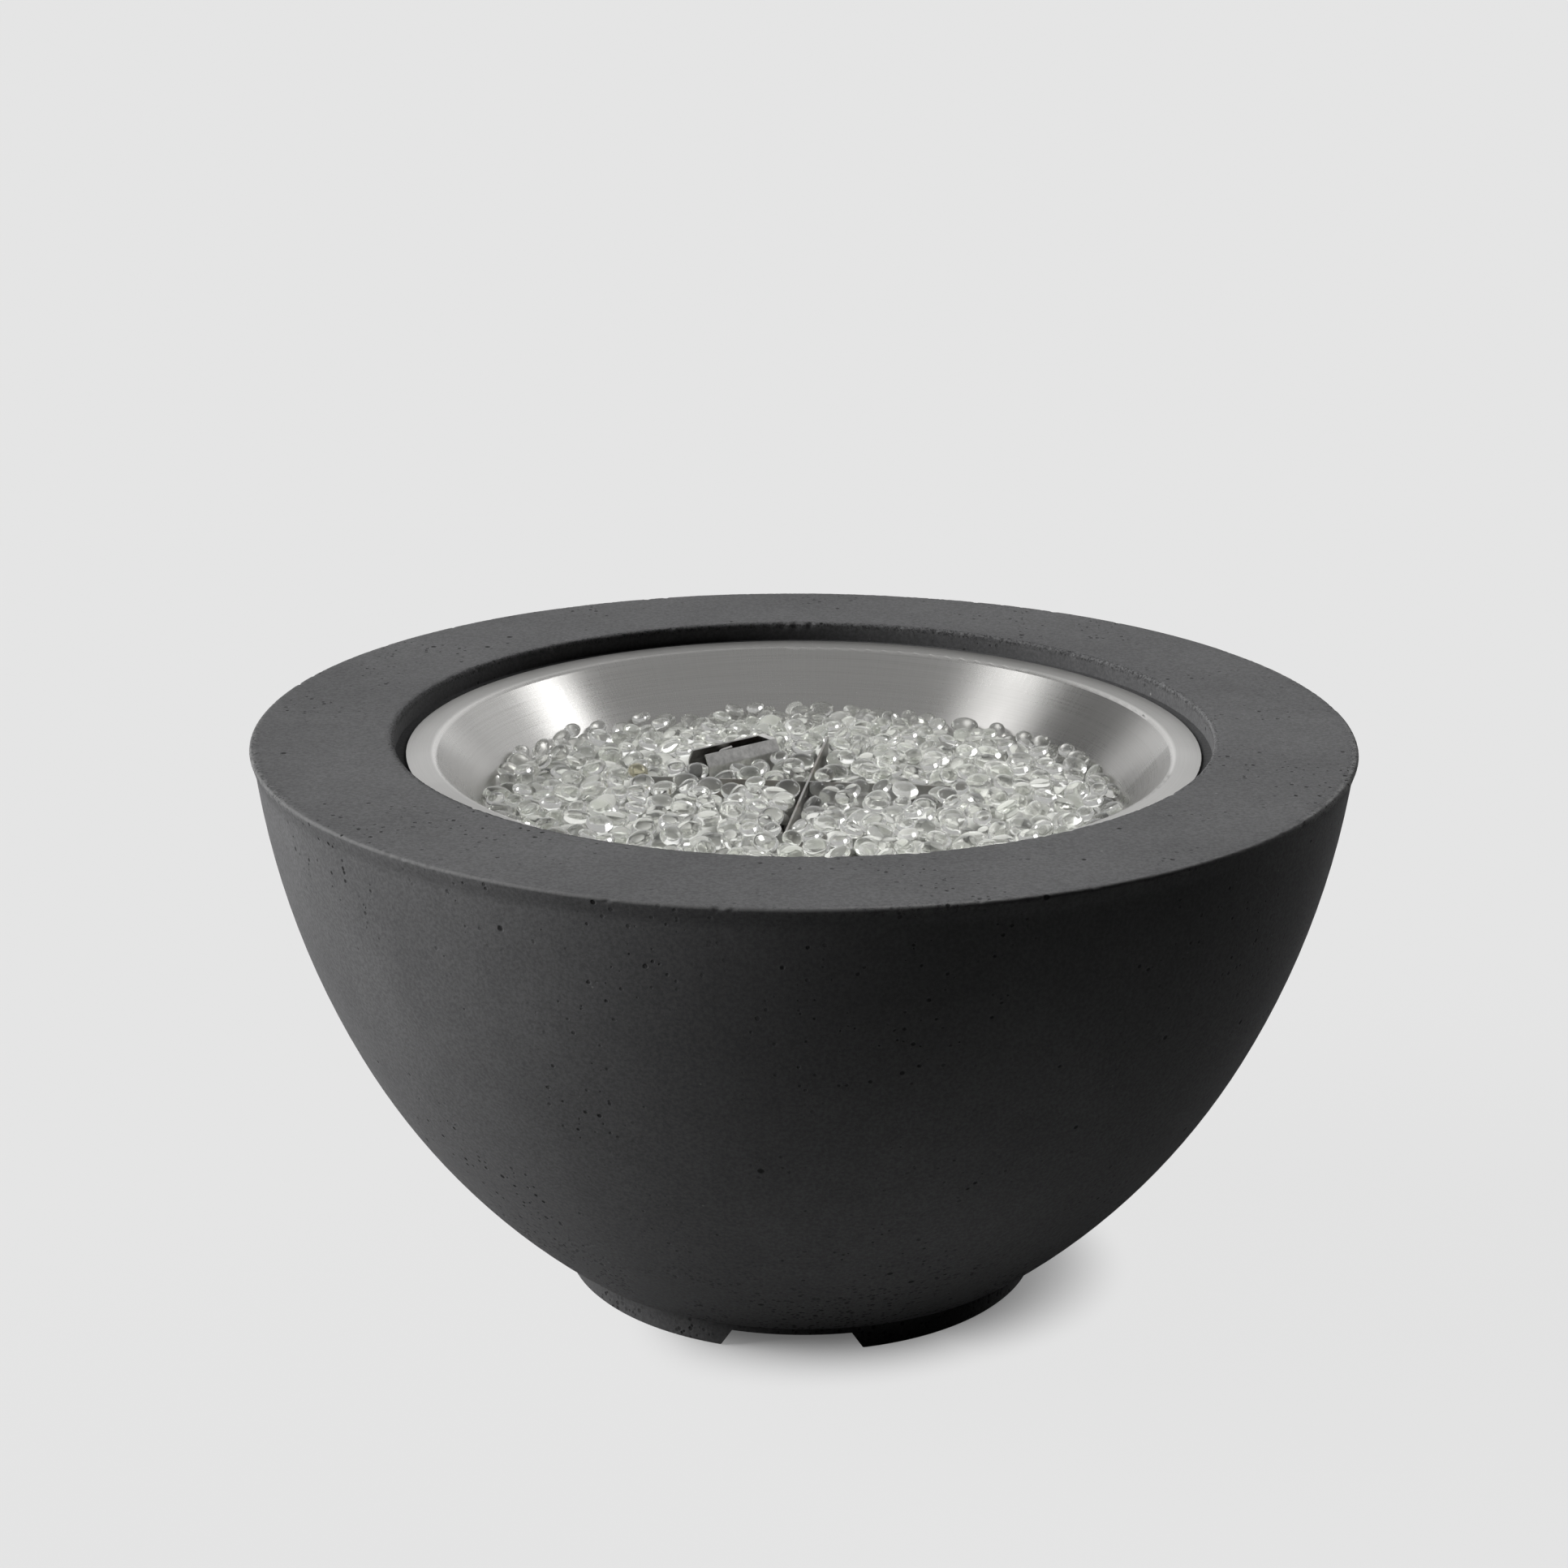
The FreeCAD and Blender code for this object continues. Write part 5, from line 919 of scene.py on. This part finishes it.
def finish_nodes():
    """Gives every CAD node that stays visible its procedural finish, by the name of its slot."""
    finishes = {
        "concrete": concrete_material(),
        "burner_steel": burner_material(),
        "gem_glass": glass("gem_filled", (0.93, 0.96, 0.94), 0.03),
    }
    for make, looks in ((brushed, BRUSHED), (plain_metal, METALS), (plain_plastic, PLASTICS)):
        for name, look in looks.items():
            finishes[name] = make(name, *look)
    for name, node in NODES.items():
        for slot in node.material_slots:
            key = slot.material.name.split(".")[0]
            if key in finishes:
                slot.material = finishes[key]
            else:
                print("no finish for", key, "on", name)
    for name, finish in (("burner_pan", pan_material()), ("pilot_hood", hood_material())):
        for slot in NODES[name].material_slots:
            slot.material = finish
    bevel = NODES["pilot_hood"].modifiers.new("edges", "BEVEL")
    bevel.width = HOOD_EDGE
    bevel.segments = 2
    bevel.limit_method = "ANGLE"
    bevel.angle_limit = math.radians(40)
    return finishes


# ---- gems
PAN_FLOOR = 0.3047
PAN_FLOOR_RADIUS = 0.188
PAN_MOUTH_RADIUS = 0.2533
PAN_TOP = 0.3797
PAN_FLOOR_BEND = 0.020
CROSS_ANGLE = math.radians(-5.5)
PLATE_A_LENGTH = 0.218
PLATE_B_LENGTH = 0.221
PLATE_B_CROSSING = 0.0032    # burner centre to the crossing, along plate A
PLATE_B_ANGLE = CROSS_ANGLE + math.radians(90.0 - 2.3)
PILOT_ANGLE = CROSS_ANGLE + math.radians(135.0)
PILOT_RADIUS = 0.0765
HOOD_TURN = PILOT_ANGLE - math.pi / 2
ARM_AXIS = PAN_FLOOR + 0.019
ARM_END = 0.0925
ARM_HALF_WIDTH = 0.0110
ARM_RADIUS = 0.0112
HUB_RADIUS = 0.0165
HUB_ABOVE_AXIS = 0.0105
PLATE_END_GAP = 0.0015
PLATE_HALF_GAP = 0.00175     # half a plate's thickness and the gems' gap beside it
HOOD_HALF = (0.032, 0.012)
HOOD_HALF_GAP = (0.0332, 0.0132)     # the same with the gems' gap beside it

BED_TOP = 0.3592             # in the middle of the bed
BED_FALL = 0.0067            # how much lower it is at the pan's wall
BED_FALL_BEHIND = 0.0035     # how much lower still at the back
BEFORE_HOOD = (0.3550, 0.25)         # the highest gem at the hood, and how that rises per metre in front
BEFORE_PLATE = (0.3564, 0.17)        # the same for plate A
CELL = 0.001                 # of the grid that holds the pile's heights
HALF_CELLS = 232
FAR = 9.0                    # above any height and past any distance here
GEM_KINDS = 64
GEM_GAP = 0.00012
DROP_RADIUS = 0.222
DROP_TRIES = 110
LAST_MISSES = 260            # the bed is full after so many gems in a row found no place
OLIVE_SPOT = np.array((-0.107, 0.010))
OLIVE_LOWEST = 0.343
SEEN_BELOW_TOP = 0.012       # gems whose middle lies deeper than this under the pile's top are coarse
PIECE_FACES = 190000         # triangles in one piece, at the most


def pan_height(radius):
    """The height of the pan's inner skin at a radius."""
    slope = math.atan2(PAN_TOP - PAN_FLOOR, PAN_MOUTH_RADIUS - PAN_FLOOR_RADIUS)
    setback = PAN_FLOOR_BEND * math.tan(slope / 2)
    bend_start = PAN_FLOOR_RADIUS - setback
    bend_end = PAN_FLOOR_RADIUS + setback * math.cos(slope)
    height = np.full(radius.shape, PAN_FLOOR)
    bend = (radius > bend_start) & (radius <= bend_end)
    height[bend] = PAN_FLOOR + PAN_FLOOR_BEND - np.sqrt(PAN_FLOOR_BEND ** 2 - (radius[bend] - bend_start) ** 2)
    wall = radius > bend_end
    height[wall] = PAN_FLOOR + (radius[wall] - PAN_FLOOR_RADIUS) * math.tan(slope)
    return height


def pile_ground():
    """The heights that gems come to rest on, and a mask of the places they can't take."""
    axis = (np.arange(2 * HALF_CELLS + 1) - HALF_CELLS) * CELL
    x, y = np.meshgrid(axis, axis, indexing="ij")
    ground = pan_height(np.hypot(x, y))
    taken = np.zeros(ground.shape, bool)
    for angle in (CROSS_ANGLE, CROSS_ANGLE + math.pi / 2):
        along, across = np.abs(turned(x, y, angle))
        arm = (along < ARM_END) & (across < ARM_HALF_WIDTH)
        ground[arm] = np.maximum(ground[arm], ARM_AXIS + np.sqrt(ARM_RADIUS ** 2 - across[arm] ** 2))
    crossing = PLATE_B_CROSSING * np.array((math.cos(CROSS_ANGLE), math.sin(CROSS_ANGLE)))
    plates = ((PLATE_A_LENGTH, CROSS_ANGLE, (0.0, 0.0)), (PLATE_B_LENGTH, PLATE_B_ANGLE, crossing))
    for length, angle, centre in plates:
        along, across = np.abs(turned(x - centre[0], y - centre[1], angle))
        taken |= (along < length / 2 + PLATE_END_GAP) & (across < PLATE_HALF_GAP)
    hub = np.hypot(x, y) < HUB_RADIUS
    ground[hub] = np.maximum(ground[hub], ARM_AXIS + HUB_ABOVE_AXIS)
    hood_x, hood_y = turned(x, y, HOOD_TURN)
    taken |= (np.abs(hood_x) < HOOD_HALF_GAP[0]) & (np.abs(hood_y - PILOT_RADIUS) < HOOD_HALF_GAP[1])
    return ground, taken


def gem_kind(rng):
    """One gem's half-axes and turn, with its lower and upper heights over its footprint."""
    half = np.array((rng.uniform(0.0086, 0.0106), rng.uniform(0.0074, 0.0092), rng.uniform(0.0052, 0.0066)))
    if rng.random() < 0.18:
        half *= 0.82
    yaw = rng.uniform(0, 2 * math.pi)
    tilt = min(abs(rng.normal(0, 0.42)), 1.35)
    roll = rng.uniform(0, 2 * math.pi)
    turn = np.array(Matrix.Rotation(roll, 3, "Z") @ Matrix.Rotation(tilt, 3, "X") @ Matrix.Rotation(yaw, 3, "Z"))
    form = turn @ np.diag(1.0 / half ** 2) @ turn.T
    reach = int(math.ceil(half.max() / CELL)) + 1
    steps = np.arange(-reach, reach + 1)
    dx, dy = np.meshgrid(steps, steps, indexing="ij")
    dx, dy = dx.ravel(), dy.ravel()
    b = form[0, 2] * dx * CELL + form[1, 2] * dy * CELL
    c = form[0, 0] * (dx * CELL) ** 2 + 2 * form[0, 1] * dx * dy * CELL ** 2 + form[1, 1] * (dy * CELL) ** 2 - 1.0
    root = b * b - form[2, 2] * c
    inside = root > 0
    root = np.sqrt(root[inside])
    low = (-b[inside] - root) / form[2, 2]
    high = (-b[inside] + root) / form[2, 2]
    return half, turn, dx[inside], dy[inside], low, high


def gem_pile():
    """Drops gems one by one, each into the lowest of many places, until the bed is full."""
    rng = np.random.default_rng(5)
    surface, taken = pile_ground()
    surface[taken] = FAR
    kinds = [gem_kind(rng) for _ in range(GEM_KINDS)]
    gems = []
    misses = 0
    while misses < LAST_MISSES:
        half, turn, dx, dy, low, high = kinds[rng.integers(GEM_KINDS)]
        radius = DROP_RADIUS * np.sqrt(rng.random(DROP_TRIES))
        angle = rng.uniform(0, 2 * math.pi, DROP_TRIES)
        x, y = radius * np.cos(angle), radius * np.sin(angle)
        i = np.rint(x / CELL).astype(int) + HALF_CELLS
        j = np.rint(y / CELL).astype(int) + HALF_CELLS
        under = surface[i[:, None] + dx, j[:, None] + dy] - low
        rest = under.max(axis=1) + GEM_GAP
        spare = bed_top(x, y) - (rest + high.max())
        best = int(np.argmax(spare + rng.uniform(0, 0.0012, DROP_TRIES)))
        if spare[best] < 0:
            misses += 1
            continue
        misses = 0
        place = np.array(((i[best] - HALF_CELLS) * CELL, (j[best] - HALF_CELLS) * CELL, rest[best]))
        surface[i[best] + dx, j[best] + dy] = rest[best] + high
        gems.append((place, half, turn))
    return gems, surface


def bed_top(x, y):
    """How high a gem's top may stand: lower at the pan's wall, at the back, and before plate A and the hood."""
    top = BED_TOP - BED_FALL * smoothstep(np.hypot(x, y), 0.10, 0.215)
    top -= BED_FALL_BEHIND * smoothstep(y, 0.06, 0.17) * smoothstep(x, -0.17, -0.08)
    hood_x, hood_y = turned(x, y, HOOD_TURN)
    along = np.abs(hood_x) - HOOD_HALF[0]
    across = PILOT_RADIUS - hood_y - HOOD_HALF[1]
    gap = np.hypot(np.maximum(along, 0.0), np.maximum(across, 0.0))
    top = np.where(across > -HOOD_HALF[1] / 2, np.minimum(top, BEFORE_HOOD[0] + BEFORE_HOOD[1] * gap), top)
    along, behind = turned(x, y, CROSS_ANGLE)
    low = (behind < 0) & (np.abs(along) < PLATE_A_LENGTH / 2 + 0.004)
    return np.where(low, np.minimum(top, BEFORE_PLATE[0] - BEFORE_PLATE[1] * behind), top)


def ball(steps):
    """A sphere of even quads, as a cube with steps x steps on each face."""
    verts, faces, index = [], [], {}
    ticks = [math.tan(t) for t in np.linspace(-math.pi / 4, math.pi / 4, steps + 1)]

    def vertex(p):
        key = tuple(round(c, 6) for c in p)
        if key not in index:
            index[key] = len(verts)
            length = math.sqrt(sum(c * c for c in p))
            verts.append([c / length for c in p])
        return index[key]

    for axis in range(3):
        for side in (-1.0, 1.0):
            for a in range(steps):
                for b in range(steps):
                    corners = []
                    for u, v in ((a, b), (a + 1, b), (a + 1, b + 1), (a, b + 1)):
                        p = [0.0, 0.0, 0.0]
                        p[axis] = side
                        p[(axis + 1) % 3] = ticks[u]
                        p[(axis + 2) % 3] = ticks[v]
                        corners.append(vertex(p))
                    faces.append(corners if side > 0 else corners[::-1])
    return np.array(verts), np.array(faces)


def make_gems():
    gems, surface = gem_pile()
    rng = np.random.default_rng(17)
    top = []
    for place, _, _ in gems:
        i = int(round(place[0] / CELL)) + HALF_CELLS
        j = int(round(place[1] / CELL)) + HALF_CELLS
        top.append(place[2] > np.median(surface[i - 4:i + 5, j - 4:j + 5]) - SEEN_BELOW_TOP)
    near = [np.linalg.norm(place[:2] - OLIVE_SPOT) if shown and place[2] > OLIVE_LOWEST else FAR
            for (place, _, _), shown in zip(gems, top)]
    olive = int(np.argmin(near))
    groups = {}
    for number, shown in enumerate(top):
        pick = rng.random()
        kind = "clear" if pick < 0.80 else "tinted" if pick < 0.96 else "milky"
        if number == olive:
            kind, shown = "olive", True
        groups.setdefault((kind, bool(shown)), []).append(number)
    colours = {kind: glass("gem_" + kind, *look) for kind, look in GEMS.items()}
    fine, rough = ball(8), ball(4)
    print("gems", len(gems), "shown", sum(top))
    for (kind, shown), members in sorted(groups.items()):
        sphere, quads = fine if shown else rough
        limit = PIECE_FACES // (2 * len(quads))
        for part in range(0, len(members), limit):
            verts, faces = [], []
            for number in members[part:part + limit]:
                place, half, turn = gems[number]
                dents = np.ones(len(sphere))
                for _ in range(3):
                    towards = rng.normal(size=3)
                    towards /= np.linalg.norm(towards)
                    dents -= rng.uniform(0.01, 0.06) * smoothstep(sphere @ towards, 0.1, 1.0)
                body = (sphere * dents[:, None] * half) @ turn.T + place
                faces.append(quads + len(sphere) * len(verts))
                verts.append(body)
            name = f"gems_{kind}_{'top' if shown else 'low'}_{part // limit + 1}"
            # the gems low in the pile take the darker copy of the glass, as painted shade
            obj = link_mesh(name, np.concatenate(verts), np.concatenate(faces).tolist(),
                            material=colours[kind if shown else "deep"])
            obj.visible_shadow = not shown
            as_piece(obj, "burner", ["gem_bed"])


# ---- hoses and lines
VALVE_X = 0.030
VALVE_PORT_Y = PANEL_BACK_Y - 0.049
IGNITER_PORT_Y = PANEL_FACE_Y - 0.074
HOSE_RADIUS = 0.0064
HOSE_GROOVE = 0.0007
HOSE_PITCH = 0.0034
HOSE_LEAD = Vector((0, 0.026, 0))       # the straight run at a fitting


def route(points):
    """Points along the NURBS line that has these control points."""
    curve = bpy.data.curves.new("route", "CURVE")
    curve.dimensions = "3D"
    spline = curve.splines.new("NURBS")
    spline.points.add(len(points) - 1)
    for point, place in zip(spline.points, points):
        point.co = (*place, 1.0)
    spline.order_u = 3
    spline.use_endpoint_u = True
    spline.resolution_u = 40
    obj = bpy.data.objects.new("route", curve)
    bpy.context.collection.objects.link(obj)
    bpy.context.view_layer.update()
    mesh = bpy.data.meshes.new_from_object(obj)
    line = np.array([v.co for v in mesh.vertices])
    bpy.data.meshes.remove(mesh)
    bpy.data.objects.remove(obj)
    bpy.data.curves.remove(curve)
    return line


def even_points(line, step):
    gaps = np.linalg.norm(np.diff(line, axis=0), axis=1)
    reach = np.concatenate([[0.0], np.cumsum(gaps)])
    count = max(int(reach[-1] / step), 2)
    wanted = np.linspace(0, reach[-1], count + 1)
    return np.stack([np.interp(wanted, reach, line[:, k]) for k in range(3)], 1), wanted


def tube(name, line, step, sides, radius_at, material):
    """A closed tube along the line; its radius is a function of the way along it."""
    points, way = even_points(line, step)
    along = np.gradient(points, axis=0)
    along /= np.linalg.norm(along, axis=1)[:, None]
    up = np.array((0.31, 0.17, 0.93))
    side = np.cross(along[0], up)
    verts = []
    turn = np.linspace(0, 2 * math.pi, sides, False)
    for k, (point, direction) in enumerate(zip(points, along)):
        side = side - direction * (side @ direction)
        side /= np.linalg.norm(side)
        other = np.cross(direction, side)
        radius = radius_at(way[k])
        verts.append(point + (np.cos(turn) * radius)[:, None] * side + (np.sin(turn) * radius)[:, None] * other)
    verts = np.concatenate(verts)
    faces = []
    for k in range(len(points) - 1):
        for s in range(sides):
            n = (s + 1) % sides
            faces.append((k * sides + s, k * sides + n, (k + 1) * sides + n, (k + 1) * sides + s))
    faces.append(tuple(range(sides - 1, -1, -1)))
    last = (len(points) - 1) * sides
    faces.append(tuple(range(last, last + sides)))
    return link_mesh(name, verts, faces, material=material)


def corrugated(way):
    return HOSE_RADIUS - HOSE_GROOVE * 0.5 * (1 - math.cos(2 * math.pi * way / HOSE_PITCH))


def pilot_point(offset, height):
    """A place beside the pilot's middle, at a height above the pan's floor."""
    return Vector((*turned(offset, PILOT_RADIUS, -HOOD_TURN), PAN_FLOOR + height))


def small_line_points(offset, end, sag):
    start = pilot_point(offset, -0.020)
    down = start + Vector((0, 0, -0.020))
    lead_out = end - HOSE_LEAD
    travel = lead_out - down
    turn = Vector((travel.x * 0.15, travel.y * 0.2, -sag * 0.8))
    lowest = travel * 0.6 + Vector((0, 0, -sag))
    return [start, down, down + turn, down + lowest, lead_out, end]


def gas_hose(name, points, finishes):
    """A corrugated gas hose along control points."""
    return tube(name, route(points), 0.0006, 24, corrugated, finishes["hose_steel"])


def make_lines(finishes):
    outlet = Vector((VALVE_X + 0.002, VALVE_PORT_Y, PANEL_Z - 0.006))
    inlet = Vector((VALVE_X + 0.026, VALVE_PORT_Y, PANEL_Z - 0.006))
    start = Vector((0, 0.091, 0.2647))
    lead_in = start + HOSE_LEAD
    lead_out = outlet - HOSE_LEAD
    hose_points = [start, lead_in, (lead_in + lead_out) * 0.5 - Vector((0, 0, 0.022)), lead_out, outlet]
    hose = gas_hose("burner_gas_hose", hose_points, finishes)
    lines = [(hose, "burner_hose", "hose_steel", start, outlet)]
    # name, CAD node, finish, offset from the pilot's middle, far end, sag, radius
    small = (
        ("pilot_tube", "pilot_line", "copper", 0.0,
         Vector((VALVE_X - 0.026, VALVE_PORT_Y, PANEL_Z + 0.006)), 0.016, 0.0020),
        ("sensor_lead", "thermocouple_lead", "copper", 0.013,
         Vector((VALVE_X - 0.013, VALVE_PORT_Y, PANEL_Z + 0.006)), 0.009, 0.0016),
        ("spark_wire", "ignition_wire", "wire_sleeve", -0.0135,
         Vector((-0.045, IGNITER_PORT_Y, PANEL_Z)), 0.020, 0.0015),
    )
    for name, node, finish, offset, end, sag, radius in small:
        points = small_line_points(offset, end, sag)
        obj = tube(name, route(points), 0.0016, 14, lambda way: radius, finishes[finish])
        lines.append((obj, node, finish, points[0], end))
    for obj, node, finish, near, far in lines:
        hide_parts(node)
        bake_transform(obj)
    tail = Vector((0.045, 0.118, 0.091))
    supply_points = [tail, tail + Vector((0, 0, 0.105)), inlet - Vector((0, 0.037, 0)), inlet]
    supply = gas_hose("supply_gas_hose", supply_points, finishes)
    as_piece(supply, "bowl", ["supply_hose"])


bpy.context.scene.view_settings.view_transform = "Standard"
make_camera()
make_world()
make_floor()
make_lamps()
finishes = finish_nodes()
make_bowl()
make_gems()
make_lines(finishes)
